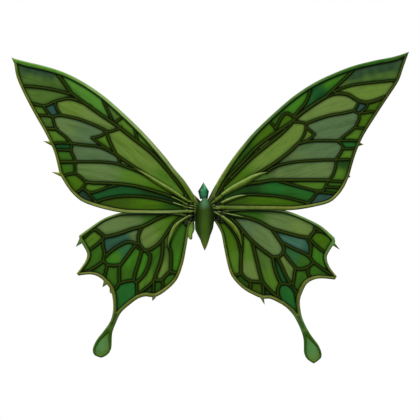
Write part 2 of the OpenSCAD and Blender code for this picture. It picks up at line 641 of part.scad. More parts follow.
// Rubber stops that the wings rest against when they are spread
module rest_bumpers() {
  color("black") for (side = [-1, 1]) {
    along_y(side * 40, 34, hinge_y + 2.2, plate_front_y, 4);
    along_y(side * 58, -47, plate_front_y - 2.2, plate_front_y, 5);
  }
}

// ---- Straps --------------------------------------------------------------------------

strap_y = plate_back_y + strap_t / 2;
strap_loop = [[strap_y, 58], [0, 67], [14, 71.5], [40, 71.5], [72, 63], [98, 42], [110, 8], [106, -34],
              [88, -68], [58, -92], [24, -99], [2, -94], [strap_y, -84]];
strap_path = concat([[strap_y, 45]], curve(strap_loop), [[strap_y, -70]]);
slider_tilt = 6;

module strap(side) {
  q = with_width(strap_path, strap_t);
  color("darkslategray") difference() {
    translate([side * strap_x - strap_w / 2, 0, 0]) rotate([90, 0, 90]) linear_extrude(strap_w)
      polygon(concat(shifted(q, 0.5), reversed(shifted(q, -0.5))));
    rivet_places() along_y(0, 0, -20, 0, 2.05);
  }
}

module left_strap() {
  strap(-1);
}

module right_strap() {
  strap(1);
}

module strap_rivets() {
  color("silver") rivet_places() {
    along_y(0, 0, plate_front_y - 1, plate_back_y + strap_t + 1, 2);
    along_y(0, 0, plate_front_y - 1.4, plate_front_y, 3.8);
    along_y(0, 0, plate_back_y + strap_t, plate_back_y + strap_t + 1.4, 3.8);
  }
}

module strap_sliders() {
  color("black") for (side = [-1, 1]) translate([side * strap_x, 110, 8]) rotate([slider_tilt, 0, 0])
    difference() {
      translate([-15, -3.6, -6]) cube([30, 7.2, 12]);
      translate([-strap_w / 2 - 0.6, -1.8, -10]) cube([strap_w + 1.2, 3.6, 20]);
    }
}

// ---- Hinge leaves and their screws ----------------------------------------------------

leaf_t = 2.5;
lf_leaf_pad = [[-27, -7.6], [-44, -7.6], [-47, -5], [-47, 7.6], [-27, 7.6]];
lf_leaf_arm = [[-37, 1, 8], [-37, 15, 8], [-44, 44, 8], [-58, 70, 7]];
rf_leaf_pad = [[27, -1.7], [37, -1.7], [44, 1], [47, 3], [47, 7.6], [27, 7.6]];
rf_leaf_arm = [[37, 5, 8], [37.5, 30, 8], [38, 54, 8], [46, 77, 7]];
lh_leaf_pad = [[-27, -19], [-27, -12.4], [-40, -12.4], [-40, -31], [-33, -31], [-33, -19]];
lh_leaf_arm = [[-34, -16, 6.5], [-48, -25, 6], [-58, -35, 7.5], [-64, -46, 7.5], [-69, -58, 5.5], [-72, -69, 3]];
rh_leaf_pad = [[27, -19], [33, -19], [33, -26], [40, -26], [42, -5], [27, -4.8]];
rh_leaf_arm = [[34, -14.5, 7], [45, -23, 7], [55, -32, 7.5], [62, -41, 7.5], [68, -51, 6], [72, -63, 3]];
rh_thin_arm = [[36, -8, 3], [50, -10.5, 3], [62, -13, 3], [73, -15, 2]];
lf_screw_at = [[-54, 66], [-41, -5.3]];
rf_screw_at = [[44, 75], [40.5, 2.8]];
lh_screw_at = [[-40, -19.5], [-36.5, -28]];
rh_screw_at = [[39, -12], [36.5, -23]];

module barrel(side, z0, z1) {
  translate([side * hinge_x, hinge_y, z0]) cylinder(r = barrel_r, h = z1 - z0);
}

// A hinge leaf: the barrel, with a plate whose middle lies at depth y
module hinge_leaf(side, z0, z1, y, screws) {
  color(deep_green) difference() {
    union() {
      barrel(side, z0, z1);
      panel(y, leaf_t) children();
    }
    translate([side * hinge_x, hinge_y, -60]) cylinder(r = pin_r + pin_gap, h = 120);
    for (p = screws) along_y(p[0], p[1], -40, 0, 1.55);
  }
}

fore_leaf_y = fore_y + rim_t / 2 + leaf_t / 2;
hind_leaf_y = hind_y - rim_t / 2 - leaf_t / 2;

module left_forewing_leaf() {
  hinge_leaf(-1, left_mid_knuckle[1] + end_gap, top_knuckle[0] - end_gap, fore_leaf_y, lf_screw_at) {
    polygon(lf_leaf_pad);
    stroke(lf_leaf_arm);
  }
}

module right_forewing_leaf() {
  hinge_leaf(1, right_mid_knuckle[1] + end_gap, top_knuckle[0] - end_gap, fore_leaf_y, rf_screw_at) {
    polygon(rf_leaf_pad);
    stroke(rf_leaf_arm);
  }
}

module left_hindwing_leaf() {
  hinge_leaf(-1, foot_knuckle[1] + end_gap, left_mid_knuckle[0] - end_gap, hind_leaf_y, lh_screw_at) {
    polygon(lh_leaf_pad);
    stroke(lh_leaf_arm);
  }
}

module right_hindwing_leaf() {
  hinge_leaf(1, foot_knuckle[1] + end_gap, right_mid_knuckle[0] - end_gap, hind_leaf_y, rh_screw_at) {
    polygon(rh_leaf_pad);
    stroke(rh_leaf_arm);
    stroke(rh_thin_arm);
  }
}

// Pan-head screws from the back of a forewing's leaf, or through a hindwing from behind
module leaf_screws(places, head_y, tip_y) {
  color("silver") for (p = places) {
    along_y(p[0], p[1], tip_y, head_y, 1.5);
    along_y(p[0], p[1], head_y, head_y + 1.2, 2.6);
  }
}

module left_forewing_screws() {
  leaf_screws(lf_screw_at, fore_leaf_y + leaf_t / 2, fore_y - 1.5);
}

module right_forewing_screws() {
  leaf_screws(rf_screw_at, fore_leaf_y + leaf_t / 2, fore_y - 1.5);
}

module left_hindwing_screws() {
  leaf_screws(lh_screw_at, hind_y + vein_t / 2, hind_leaf_y - 1);
}

module right_hindwing_screws() {
  leaf_screws(rh_screw_at, hind_y + vein_t / 2, hind_leaf_y - 1);
}

// Hooks behind the forewing's lower rod that reach over the hindwing's upper rim, so that
// the two wings of one side fold together
module catch_hooks(places, arm_z, lip_z) {
  color(deep_green) for (x = places) {
    translate([x - 4, fore_y + rim_t / 2, arm_z]) cube([8, hind_y + 5 - fore_y - rim_t / 2, 1.9]);
    translate([x - 4, hind_y + 3.1, lip_z]) cube([8, 1.9, arm_z + 1.9 - lip_z]);
  }
}

module left_catch_hooks() {
  catch_hooks([-95, -135], -4.5, -9.5);
}

module right_catch_hooks() {
  catch_hooks([95, 128], 2.7, -3.5);
}

// ---- Wing nodes ------------------------------------------------------------------------

module pierced(places) {
  difference() {
    children();
    for (p = places) along_y(p[0], p[1], -40, 0, 1.55);
  }
}

module forewing_panes(edges, veins, gusset, side) {
  panel(fore_y, pane_t) intersection() {
    moving_forewing(side) field(edges, veins, gusset, side);
    children();
  }
}

module hindwing_panes(edges, veins, gusset, side) {
  panel(hind_y, pane_t) intersection() {
    moving_hindwing(side) field(edges, veins, gusset, side);
    children();
  }
}

module spar_blades(spars, back_y) {
  color(leaf_green) panel(back_y - spar_t / 2, spar_t) for (s = spars) stroke(s);
}

module left_forewing_rim() {
  color(stem_green) pierced(lf_screw_at) forewing_rim(lf_edges, lf_thorns, 1);
}

module left_forewing_veins() {
  color(vein_green) forewing_veins(lf_edges, lf_veins, lf_gusset, 1);
}

module left_forewing_spars() {
  spar_blades(lf_spars, fore_y - vein_t / 2);
}

module left_forewing_front_panes() {
  color(grass) forewing_panes(lf_edges, lf_veins, lf_gusset, 1) above(lf_split_high);
}

module left_forewing_outer_panes() {
  color(lime) forewing_panes(lf_edges, lf_veins, lf_gusset, 1) difference() {
    rect(-420, 0, -40, 340);
    above(lf_split_high);
    below(lf_split_low);
  }
}

module left_forewing_lower_panes() {
  color(sage) forewing_panes(lf_edges, lf_veins, lf_gusset, 1) below(lf_split_low);
}

module right_forewing_rim() {
  color(stem_green) pierced(rf_screw_at) forewing_rim(rf_edges, rf_thorns, -1);
}

module right_forewing_veins() {
  color(vein_green) forewing_veins(rf_edges, rf_veins, rf_gusset, -1);
}

module right_forewing_spars() {
  spar_blades(rf_spars, fore_y - vein_t / 2);
}

module right_forewing_front_panes() {
  color(grass) forewing_panes(rf_edges, rf_veins, rf_gusset, -1) above(rf_split_high);
}

module right_forewing_outer_panes() {
  color(lime) forewing_panes(rf_edges, rf_veins, rf_gusset, -1) difference() {
    rect(0, 420, -40, 340);
    above(rf_split_high);
    below(rf_split_low);
  }
}

module right_forewing_lower_panes() {
  color(sage) forewing_panes(rf_edges, rf_veins, rf_gusset, -1) below(rf_split_low);
}

module hindwing_rim(edges, thorns, side) {
  color(stem_green) within_swing(side) panel(hind_y, rim_t) moving_hindwing(side)
    rim_bands(edges, thorns, side);
}

module hindwing_veins(edges, veins, gusset, paddle, side) {
  color(vein_green) within_swing(side) panel(hind_y, vein_t) moving_hindwing(side) difference() {
    intersection() {
      union() vein_strokes(veins, gusset);
      outline(edges);
    }
    rim_bands(edges, [], side);
    polygon(paddle);
  }
}

module tail_paddle(edges, paddle, side) {
  color(leaf_green) panel(hind_y, 3) intersection() {
    difference() {
      outline(edges);
      rim_bands(edges, [], side);
    }
    polygon(paddle);
  }
}

module left_hindwing_rim() {
  hindwing_rim(lh_edges, lh_thorns, 1);
}

module left_hindwing_veins() {
  pierced(lh_screw_at) hindwing_veins(lh_edges, lh_veins, lh_gusset, lh_paddle, 1);
}

module left_hindwing_spars() {
  spar_blades(lh_spars, hind_leaf_y - leaf_t / 2);
}

module left_hindwing_upper_panes() {
  color(sage) hindwing_panes(lh_edges, lh_veins, lh_gusset, 1) above(lh_split);
}

module left_hindwing_lower_panes() {
  color(grass) hindwing_panes(lh_edges, lh_veins, lh_gusset, 1) difference() {
    below(lh_split);
    polygon(lh_paddle);
  }
}

module left_tail_paddle() {
  tail_paddle(lh_edges, lh_paddle, 1);
}

module left_root_leaflet() {
  leaflet = [[-25, -23.5], [-30.5, -31], [-34, -42], [-34, -54], [-30.5, -60], [-27, -62], [-24.2, -59],
             [-24, -51], [-21, -45], [-19.6, -39], [-19.9, -31], [-20.6, -25]];
  color(leaf_green) panel(hind_leaf_y, leaf_t) polygon(closed_curve(leaflet));
}

module right_hindwing_rim() {
  hindwing_rim(rh_edges, rh_thorns, -1);
}

module right_hindwing_veins() {
  pierced(rh_screw_at) hindwing_veins(rh_edges, rh_veins, rh_gusset, rh_paddle, -1);
}

module right_hindwing_spars() {
  spar_blades(rh_spars, hind_leaf_y - leaf_t / 2);
}

module right_hindwing_upper_panes() {
  color(sage) hindwing_panes(rh_edges, rh_veins, rh_gusset, -1) above(rh_split);
}

module right_hindwing_lower_panes() {
  color(grass) hindwing_panes(rh_edges, rh_veins, rh_gusset, -1) difference() {
    below(rh_split);
    polygon(rh_paddle);
  }
}

module right_tail_paddle() {
  tail_paddle(rh_edges, rh_paddle, -1);
}

// ---- Drawing ----------------------------------------------------------------------------

back_plate();
back_pad();
hinge_block();
root_ribs();
body_shell();
head_finial();
left_hinge_pin();
right_hinge_pin();
plate_screws();
shell_screws();
rest_bumpers();
left_strap();
right_strap();
strap_rivets();
strap_sliders();
left_forewing_leaf();
left_forewing_rim();
left_forewing_veins();
left_forewing_spars();
left_forewing_front_panes();
left_forewing_outer_panes();
left_forewing_lower_panes();
left_forewing_screws();
left_catch_hooks();
right_forewing_leaf();
right_forewing_rim();
right_forewing_veins();
right_forewing_spars();
right_forewing_front_panes();
right_forewing_outer_panes();
right_forewing_lower_panes();
right_forewing_screws();
right_catch_hooks();
left_hindwing_leaf();
left_hindwing_rim();
left_hindwing_veins();
left_hindwing_spars();
left_hindwing_upper_panes();
left_hindwing_lower_panes();
left_tail_paddle();
left_hindwing_screws();
left_root_leaflet();
right_hindwing_leaf();
right_hindwing_rim();
right_hindwing_veins();
right_hindwing_spars();
right_hindwing_upper_panes();
right_hindwing_lower_panes();
right_tail_paddle();
right_hindwing_screws();
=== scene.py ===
"""The looks of a pair of green fairy wings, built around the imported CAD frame.

Lengths inside this file are millimetres in the row frame, unless a name says metres. Points in
the plane of the wings are (x, z) pairs. A flat CAD node is turned into a modelled relief: its
outline is read from its own mesh, filled with points, and raised by the distance to its edge.
"""

import json
import math

import bpy
import numpy as np
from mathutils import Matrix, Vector, geometry, kdtree


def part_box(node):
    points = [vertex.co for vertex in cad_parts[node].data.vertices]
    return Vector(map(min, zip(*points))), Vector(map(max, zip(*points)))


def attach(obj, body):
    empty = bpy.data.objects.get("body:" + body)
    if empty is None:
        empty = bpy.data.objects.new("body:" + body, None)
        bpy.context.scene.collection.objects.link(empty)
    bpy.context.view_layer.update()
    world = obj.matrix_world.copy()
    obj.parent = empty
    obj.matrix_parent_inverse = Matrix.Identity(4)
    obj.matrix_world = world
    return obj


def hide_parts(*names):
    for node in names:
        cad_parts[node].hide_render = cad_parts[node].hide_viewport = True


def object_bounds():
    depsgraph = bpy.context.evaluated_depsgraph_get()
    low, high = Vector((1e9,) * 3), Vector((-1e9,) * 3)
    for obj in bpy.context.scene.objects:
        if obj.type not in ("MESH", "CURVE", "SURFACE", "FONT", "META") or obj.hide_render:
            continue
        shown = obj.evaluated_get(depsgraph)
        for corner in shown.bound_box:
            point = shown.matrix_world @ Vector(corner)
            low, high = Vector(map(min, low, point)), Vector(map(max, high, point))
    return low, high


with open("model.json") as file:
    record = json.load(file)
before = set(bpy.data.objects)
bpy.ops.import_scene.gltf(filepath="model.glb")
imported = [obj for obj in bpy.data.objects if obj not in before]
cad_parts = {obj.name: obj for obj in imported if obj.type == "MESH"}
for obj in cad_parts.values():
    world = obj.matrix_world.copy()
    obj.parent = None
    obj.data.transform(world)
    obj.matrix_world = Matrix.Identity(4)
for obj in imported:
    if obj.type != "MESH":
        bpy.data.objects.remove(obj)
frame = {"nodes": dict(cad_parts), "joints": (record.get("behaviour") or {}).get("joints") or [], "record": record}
CAD_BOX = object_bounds()
NODES = frame["nodes"]
BODY = {node: body for body, nodes in frame["record"]["behaviour"]["bodies"].items() for node in nodes}
MM = 0.001
SIDES = ("left", "right")
WINGS = [f"{side}_{pair}" for side in SIDES for pair in ("forewing", "hindwing")]
SCENE = bpy.context.scene


def srgb(code):
    """A colour written as six hexadecimal digits, as linear red, green, blue and alpha"""
    parts = [int(code[i:i + 2], 16) / 255 for i in (0, 2, 4)]
    return tuple(p / 12.92 if p <= 0.04045 else ((p + 0.055) / 1.055) ** 2.4 for p in parts) + (1.0,)


# ---- Outlines read from the CAD meshes ----

FLAT_TOL = 0.03  # how far the points of a flat face may lie off its plane
BLOCK = 1500  # places tested at a time
ROW_GAP = 0.866  # rows of a triangular lattice, in steps


def welded(node):
    """A node's points in mm, doubles merged, and its triangles as rows of point numbers"""
    mesh = NODES[node].data
    co = np.empty(len(mesh.vertices) * 3)
    mesh.vertices.foreach_get("co", co)
    mesh.calc_loop_triangles()
    tris = np.empty(len(mesh.loop_triangles) * 3, int)
    mesh.loop_triangles.foreach_get("vertices", tris)
    points, inverse = np.unique(np.round(co.reshape(-1, 3) * 1000, 3), axis=0, return_inverse=True)
    return points, inverse.reshape(-1)[tris].reshape(-1, 3)


def flat_faces(node, front=True, axis=1):
    """The triangles in a node's frontmost plane or its rearmost, and its points seen along Y.
    With another axis, the planes and the view are across that."""
    points, tris = welded(node)
    level = points[:, axis].min() if front else points[:, axis].max()
    keep = (np.abs(points[tris][:, :, axis] - level) < FLAT_TOL).all(axis=1)
    return np.delete(points, axis, axis=1), tris[keep]


def sides_of(tris):
    return np.concatenate([tris[:, [0, 1]], tris[:, [1, 2]], tris[:, [2, 0]]])


def border(tris):
    """The edges that only one triangle has"""
    found, counts = np.unique(np.sort(sides_of(tris), axis=1), axis=0, return_counts=True)
    return found[counts == 1]


def outline_of(node, front=True):
    """The outline of a flat face as segments, of shape (edges, 2, 2)"""
    points, tris = flat_faces(node, front)
    return points[border(tris)]


def islands(tris):
    """The groups of triangles that hang together"""
    parent = {}

    def root(a):
        while parent.setdefault(a, a) != a:
            parent[a] = parent[parent[a]]
            a = parent[a]
        return a

    for a, b, c in tris.tolist():
        parent[root(a)] = root(b)
        parent[root(b)] = root(c)
    groups = {}
    for row in tris:
        groups.setdefault(root(int(row[0])), []).append(row)
    return [np.array(g) for g in groups.values()]


def loop_of(edges):
    """Point numbers in order round a closed outline, from its edges"""
    follow = {}
    for a, b in edges.tolist():
        follow.setdefault(a, []).append(b)
        follow.setdefault(b, []).append(a)
    chain = [edges[0][0]]
    last = None
    while True:
        onward = [n for n in follow[chain[-1]] if n != last][0]
        if onward == chain[0]:
            return chain
        last = chain[-1]
        chain.append(onward)


def inside(places, segments):
    """Which places lie inside the closed outline made by the segments"""
    a, b = segments[:, 0], segments[:, 1]
    hit = np.zeros(len(places), bool)
    for start in range(0, len(places), BLOCK):
        x = places[start:start + BLOCK, 0:1]
        z = places[start:start + BLOCK, 1:2]
        spans = (a[None, :, 1] > z) != (b[None, :, 1] > z)
        with np.errstate(divide="ignore", invalid="ignore"):
            cross = a[:, 0] + (z - a[:, 1]) * (b[:, 0] - a[:, 0]) / (b[:, 1] - a[:, 1])
        hit[start:start + BLOCK] = (spans & (x < cross)).sum(axis=1) % 2 == 1
    return hit


def samples_along(segments, step=0.35):
    """Points close together along the segments"""
    out = []
    for a, b in segments:
        n = max(1, int(np.linalg.norm(b - a) / step))
        out.append(a + (b - a) * (np.arange(n) / n)[:, None])
    return np.concatenate(out)


def tree_of(places):
    tree = kdtree.KDTree(len(places))
    for i, p in enumerate(places):
        tree.insert((p[0], p[1], 0.0), i)
    tree.balance()
    return tree


def distances(places, tree):
    return np.array([tree.find((p[0], p[1], 0.0))[2] for p in places])


def filled(segments, step, margin=0.42):
    """Points on and inside an outline, the triangles between them, and each point's distance
    from the outline. Inner points lie on a triangular lattice, a margin of a step or more from
    the outline."""
    corners, inverse = np.unique(np.round(segments.reshape(-1, 2), 3), axis=0, return_inverse=True)
    edges = inverse.reshape(-1, 2)
    tree = tree_of(samples_along(segments))
    lo, hi = corners.min(axis=0), corners.max(axis=0)
    places = [np.zeros((0, 2))]
    for k, z in enumerate(np.arange(lo[1] + step / 2, hi[1], step * ROW_GAP)):
        x = np.arange(lo[0] + (step / 2 if k % 2 else step / 4), hi[0], step)
        places.append(np.stack([x, np.full(len(x), z)], axis=1))
    places = np.concatenate(places)
    places = places[inside(places, segments)]
    if len(places):
        places = places[distances(places, tree) > step * margin]
    every = np.concatenate([corners, places])
    verts, _, faces, *_ = geometry.delaunay_2d_cdt(
        [Vector(p) for p in every.tolist()], [tuple(e) for e in edges.tolist()], [], 0, 1e-4)
    verts = np.array([tuple(v) for v in verts])
    faces = np.array(faces)
    faces = faces[inside(verts[faces].mean(axis=1), segments)]
    used, faces = np.unique(faces, return_inverse=True)
    return verts[used], faces.reshape(-1, 3), distances(verts[used], tree)


# ---- Meshes ----

def linked(name, data):
    obj = bpy.data.objects.new(name, data)
    SCENE.collection.objects.link(obj)
    return obj


def new_mesh(name, points, faces, sharp_deg=40.0):
    """A mesh object from points in mm"""
    mesh = bpy.data.meshes.new(name)
    mesh.from_pydata((np.asarray(points) * MM).tolist(), [], [list(map(int, f)) for f in faces])
    mesh.validate()
    mesh.polygons.foreach_set("use_smooth", [True] * len(mesh.polygons))
    mesh.set_sharp_from_angle(angle=math.radians(sharp_deg))
    return linked(name, mesh)


def coordinates(mesh):
    """The points of a mesh in metres, one after the other in a flat array"""
    co = np.empty(len(mesh.vertices) * 3)
    mesh.vertices.foreach_get("co", co)
    return co


def give(obj, **layers):
    """Named numbers, or colours, at each point of the mesh"""
    for name, values in layers.items():
        values = np.asarray(values, np.float32)
        if values.ndim == 1:
            obj.data.attributes.new(name, "FLOAT", "POINT").data.foreach_set("value", values)
        else:
            made = obj.data.color_attributes.new(name, "FLOAT_COLOR", "POINT")
            made.data.foreach_set("color", values.ravel())


LIGHT_GAIN = 0.62
LEFT_LEAN = 0.18


def lit(obj):
    """Gives each point the light that falls on it from above and a little from the left"""
    normals = np.empty(len(obj.data.vertices) * 3, np.float32)
    obj.data.vertex_normals.foreach_get("vector", normals)
    normals = normals.reshape(-1, 3)
    give(obj, light=np.clip(0.5 + LIGHT_GAIN * (normals[:, 2] - LEFT_LEAN * normals[:, 0]), 0, 1))


def relief(name, segments, step, middle_y, front, back, sharp_deg=40.0):
    """A closed plate over an outline. front and back give the height above the middle plane at
    each place, from its position and its distance to the edge. Returns the object, the places
    of its points and their distances."""
    places, tris, depth = filled(segments, step)
    n = len(places)
    rise, fall = front(places, depth), back(places, depth)
    front_pts = np.stack([places[:, 0], middle_y - rise, places[:, 1]], axis=1)
    back_pts = np.stack([places[:, 0], middle_y + fall, places[:, 1]], axis=1)
    a, b, c = places[tris[:, 0]], places[tris[:, 1]], places[tris[:, 2]]
    turn = (b[:, 0] - a[:, 0]) * (c[:, 1] - a[:, 1]) - (b[:, 1] - a[:, 1]) * (c[:, 0] - a[:, 0])
    tris = np.where((turn > 0)[:, None], tris, tris[:, ::-1])
    directed = sides_of(tris)
    _, index, counts = np.unique(np.sort(directed, axis=1), axis=0, return_index=True, return_counts=True)
    faces = tris.tolist() + (tris[:, ::-1] + n).tolist()
    faces += [[b, a, a + n, b + n] for a, b in directed[index[counts == 1]].tolist()]
    obj = new_mesh(name, np.concatenate([front_pts, back_pts]), faces, sharp_deg)
    return obj, np.concatenate([places, places]), np.concatenate([depth, depth])


def resampled(line, step):
    """The same line with points at about even steps, and each point's distance from the start"""
    line = np.asarray(line, float)
    lengths = np.concatenate([[0], np.cumsum(np.linalg.norm(np.diff(line, axis=0), axis=1))])
    at = np.linspace(0, lengths[-1], max(2, int(lengths[-1] / step) + 1))
    return np.stack([np.interp(at, lengths, line[:, k]) for k in range(line.shape[1])], axis=1), at


def tube(rings, loop=False):
    """The faces of a tube through rings of point numbers, capped unless it loops"""
    faces = []
    for ring, onward in zip(rings, rings[1:] + rings[:1] if loop else rings[1:]):
        faces += zip(ring, ring[1:] + ring[:1], onward[1:] + onward[:1], onward)
    return faces if loop else faces + [rings[0][::-1], rings[-1]]


def swept(name, rings, loop=False):
    """A tube through rings of points, of shape (rings, points per ring, 3)"""
    numbers = np.arange(rings.shape[0] * rings.shape[1]).reshape(rings.shape[:2]).tolist()
    return new_mesh(name, rings.reshape(-1, 3), tube(numbers, loop), sharp_deg=60.0)


# A sewn thread's thickness along its length, and the points round it
THREAD_SHAPE = ((0.0, 0.25), (0.12, 0.8), (0.5, 1.0), (0.88, 0.8), (1.0, 0.25))
THREAD_SIDES = 6


def threads(name, stitches, radius):
    """Short sewn threads, each from one place to another and rounded at its ends"""
    points, faces = [], []
    turns = [k * 2 * math.pi / THREAD_SIDES for k in range(THREAD_SIDES)]
    for a, b in stitches:
        a, b = Vector(a), Vector(b)
        turn = (b - a).to_track_quat("Z", "Y")
        first = len(points)
        for share, size in THREAD_SHAPE:
            for t in turns:
                out = Vector((math.cos(t), math.sin(t), 0)) * radius * size
                points.append(a.lerp(b, share) + turn @ out)
        faces += tube([[i + k for k in range(THREAD_SIDES)] for i in range(first, len(points), THREAD_SIDES)])
    return new_mesh(name, [tuple(q) for q in points], faces)


def smooth(t):
    t = np.clip(t, 0, 1)
    return t * t * (3 - 2 * t)


def rising(values, start, end):
    """0 up to the start, 1 past the end, and smooth between them"""
    return smooth((values - start) / (end - start))


def dome(edge, crown, reach):
    """A height that grows like a rounded rod's from the edge, up to a crown after some reach"""
    def height(places, depth):
        t = np.clip(depth / reach, 0, 1)
        return edge + (crown - edge) * np.sqrt(1 - (1 - t) ** 2)
    return height


def pillow(edge, crown, reach):
    """A height that swells softly from the edge"""
    def height(places, depth):
        return edge + (crown - edge) * smooth(depth / reach)
    return height


def ridge(edge, crown, reach):
    """A height that rises evenly from the edge to a sharp middle line"""
    def height(places, depth):
        return edge + (crown - edge) * np.clip(depth / reach, 0, 1) ** 0.8
    return height


# ---- Materials ----

class Paint:
    """A procedural material under construction: a Principled shader and the nodes that feed it"""

    def __init__(self, name, colour="808080", **sockets):
        self.mat = bpy.data.materials.new(name)
        self.mat.use_nodes = True
        self.mat.diffuse_color = srgb(colour)
        self.tree = self.mat.node_tree
        self.shader = self.tree.nodes["Principled BSDF"]
        self.shader.inputs["Base Color"].default_value = srgb(colour)
        for socket, value in sockets.items():
            self.shader.inputs[socket.replace("_", " ")].default_value = value

    def node(self, kind, feeds=None, **settings):
        made = self.tree.nodes.new(kind)
        for key, value in settings.items():
            setattr(made, key, value)
        for socket, value in (feeds or {}).items():
            self.feed(made.inputs[socket], value)
        return made

    def feed(self, socket, value):
        if isinstance(value, bpy.types.NodeSocket):
            self.tree.links.new(value, socket)
        else:
            socket.default_value = value

    def place(self):
        return self.node("ShaderNodeTexCoord").outputs["Object"]

    def stretched(self, scale):
        return self.node("ShaderNodeMapping", {"Vector": self.place(), "Scale": scale}).outputs["Vector"]

    def number(self, name):
        return self.node("ShaderNodeAttribute", attribute_name=name).outputs["Fac"]

    def cloud(self, scale, detail=3.0, rough=0.5, vector=None, twist=0.0):
        feeds = {"Scale": scale, "Detail": detail, "Roughness": rough, "Distortion": twist,
                 "Vector": self.place() if vector is None else vector}
        return self.node("ShaderNodeTexNoise", feeds).outputs["Fac"]

    def grain(self, scale, stretch):
        """Fine noise, drawn out along the axes with a small stretch"""
        return self.cloud(scale, 4.0, 0.6, vector=self.stretched(stretch))

    def ramp(self, factor, stops):
        made = self.node("ShaderNodeValToRGB", {"Fac": factor})
        cells = made.color_ramp.elements
        while len(cells) < len(stops):
            cells.new(0.5)
        for cell, (at, value) in zip(cells, stops):
            cell.position = at
            cell.color = srgb(value) if isinstance(value, str) else (value, value, value, 1)
        return made.outputs["Color"]

    def spread(self, value, low, high, to_low=0.0, to_high=1.0):
        feeds = {"Value": value, "From Min": low, "From Max": high, "To Min": to_low, "To Max": to_high}
        return self.node("ShaderNodeMapRange", feeds).outputs["Result"]

    def vary(self, noise, low, high):
        """The range that noise mostly has, taken to another"""
        return self.spread(noise, 0.3, 0.7, low, high)

    def mix(self, factor, a, b, how="MIX"):
        made = self.node("ShaderNodeMix", data_type="RGBA", blend_type=how)
        self.feed(made.inputs[0], factor)
        self.feed(made.inputs[6], srgb(a) if isinstance(a, str) else a)
        self.feed(made.inputs[7], srgb(b) if isinstance(b, str) else b)
        return made.outputs[2]

    def times(self, tone, by):
        return self.mix(1.0, tone, by, "MULTIPLY")

    def maths(self, how, a, b=0.0):
        made = self.node("ShaderNodeMath", operation=how)
        self.feed(made.inputs[0], a)
        self.feed(made.inputs[1], b)
        return made.outputs[0]

    def plus(self, a, b):
        return self.maths("ADD", a, b)

    def scaled(self, a, b):
        return self.maths("MULTIPLY", a, b)

    def finish(self, colour, rough, height, bump, reach):
        """Feeds the shader, with a bump of that strength and reach in metres"""
        self.feed(self.shader.inputs["Base Color"], colour)
        self.feed(self.shader.inputs["Roughness"], rough)
        made = self.node("ShaderNodeBump", {"Strength": bump, "Distance": reach, "Height": height})
        self.feed(self.shader.inputs["Normal"], made.outputs["Normal"])
        return self.mat


# Stem green from its shaded underside to where it faces up
LIGHT_STEPS = (0.0, 0.25, 0.5, 0.72, 1.0)
RIB_TONES = ("16240a", "354c0e", "56701e", "7c963e", "b0c680")


def toned(p, light, tones):
    return p.ramp(light, list(zip(LIGHT_STEPS, tones)))


def dress(obj, material, slot=None):
    obj.data.materials.clear()
    obj.data.materials.append(material)


def placed(obj, material, slot, node, replaces=True):
    """Dresses a piece and lets it ride with a node, which it also replaces unless told otherwise"""
    dress(obj, material, slot)
    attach(obj, BODY[node])
    if replaces:
        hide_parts(node)


# How fast a pane's washes change along it and across it, per mm
BRUSH_ALONG = 0.014
BRUSH_ACROSS = 0.11


def pane_paint(name):
    """Tinted film: its tint comes from the mesh, is darkened by painted shade beside the veins, and is
    brushed along the pane"""
    p = Paint(name, "4d7a28", Roughness=0.55, Specular_IOR_Level=0.05)
    tint = p.node("ShaderNodeAttribute", attribute_name="tint").outputs["Color"]
    run = p.scaled(p.number("run"), BRUSH_ALONG)
    flow = p.scaled(p.number("flow"), BRUSH_ACROSS)
    brush = p.node("ShaderNodeCombineXYZ", {"X": run, "Y": flow}).outputs["Vector"]
    wash = p.cloud(1.0, 2.0, 0.5, vector=brush, twist=0.6)
    streak = p.cloud(3.2, 3.0, 0.6, vector=brush, twist=0.9)
    tint = p.mix(p.spread(wash, 0.30, 0.52, 0.45, 0.0), tint, p.times(tint, "a4c0a0"))
    tint = p.mix(p.spread(streak, 0.52, 0.72, 0.0, 0.34), tint, p.mix(1.0, tint, "c8d4b0", "OVERLAY"))
    tint = p.mix(p.spread(streak, 0.48, 0.30, 0.0, 0.25), tint, p.times(tint, "8c9c70"))
    # painted shade: the tint goes dark towards the veins and into the pane's corners
    edge = p.spread(p.number("edge"), 0.0, 12.0)
    tint = p.times(tint, p.ramp(edge, [(0.0, 0.06), (0.10, 0.26), (0.24, 0.78), (0.5, 1.0)]))
    return p.finish(tint, p.vary(wash, 0.42, 0.6), streak, 0.15, 0.0005)


def ribbed(p, tone):
    """The tone with the olive ribs that run in to the root laid over it"""
    return p.mix(p.spread(p.number("rib"), 0.12, 0.42), tone, toned(p, p.number("light"), RIB_TONES))


def vein_paint(name):
    """Near-black green, with a thin olive-brown ridge on the narrow veins, painted shade deepening
    the flanks beside it, dark gussets, and painted light where it faces up
    """
    p = Paint(name, "1c260a", Specular_IOR_Level=0.03)
    grain = p.grain(320.0, (1.0, 0.3, 1.0))
    height = p.plus(p.number("edge"), p.vary(grain, -0.3, 0.3))
    # the near-black flanks either side of the ridge are the veins' own colour deepened by painted shade
    tone = p.ramp(p.spread(height, 0.0, 5.0), [(0.0, "0c1f03"), (0.18, "0d1b03"), (0.38, "33450a"),
                                               (0.48, "2f3f0a"), (0.62, "152406"), (1.0, "0f1c05")])
    lit_by = p.ramp(p.number("light"), [(0.2, 0.55), (0.5, 0.9), (0.8, 1.35)])
    return p.finish(ribbed(p, p.times(tone, lit_by)), p.vary(grain, 0.45, 0.65), grain, 0.3, 0.0008)


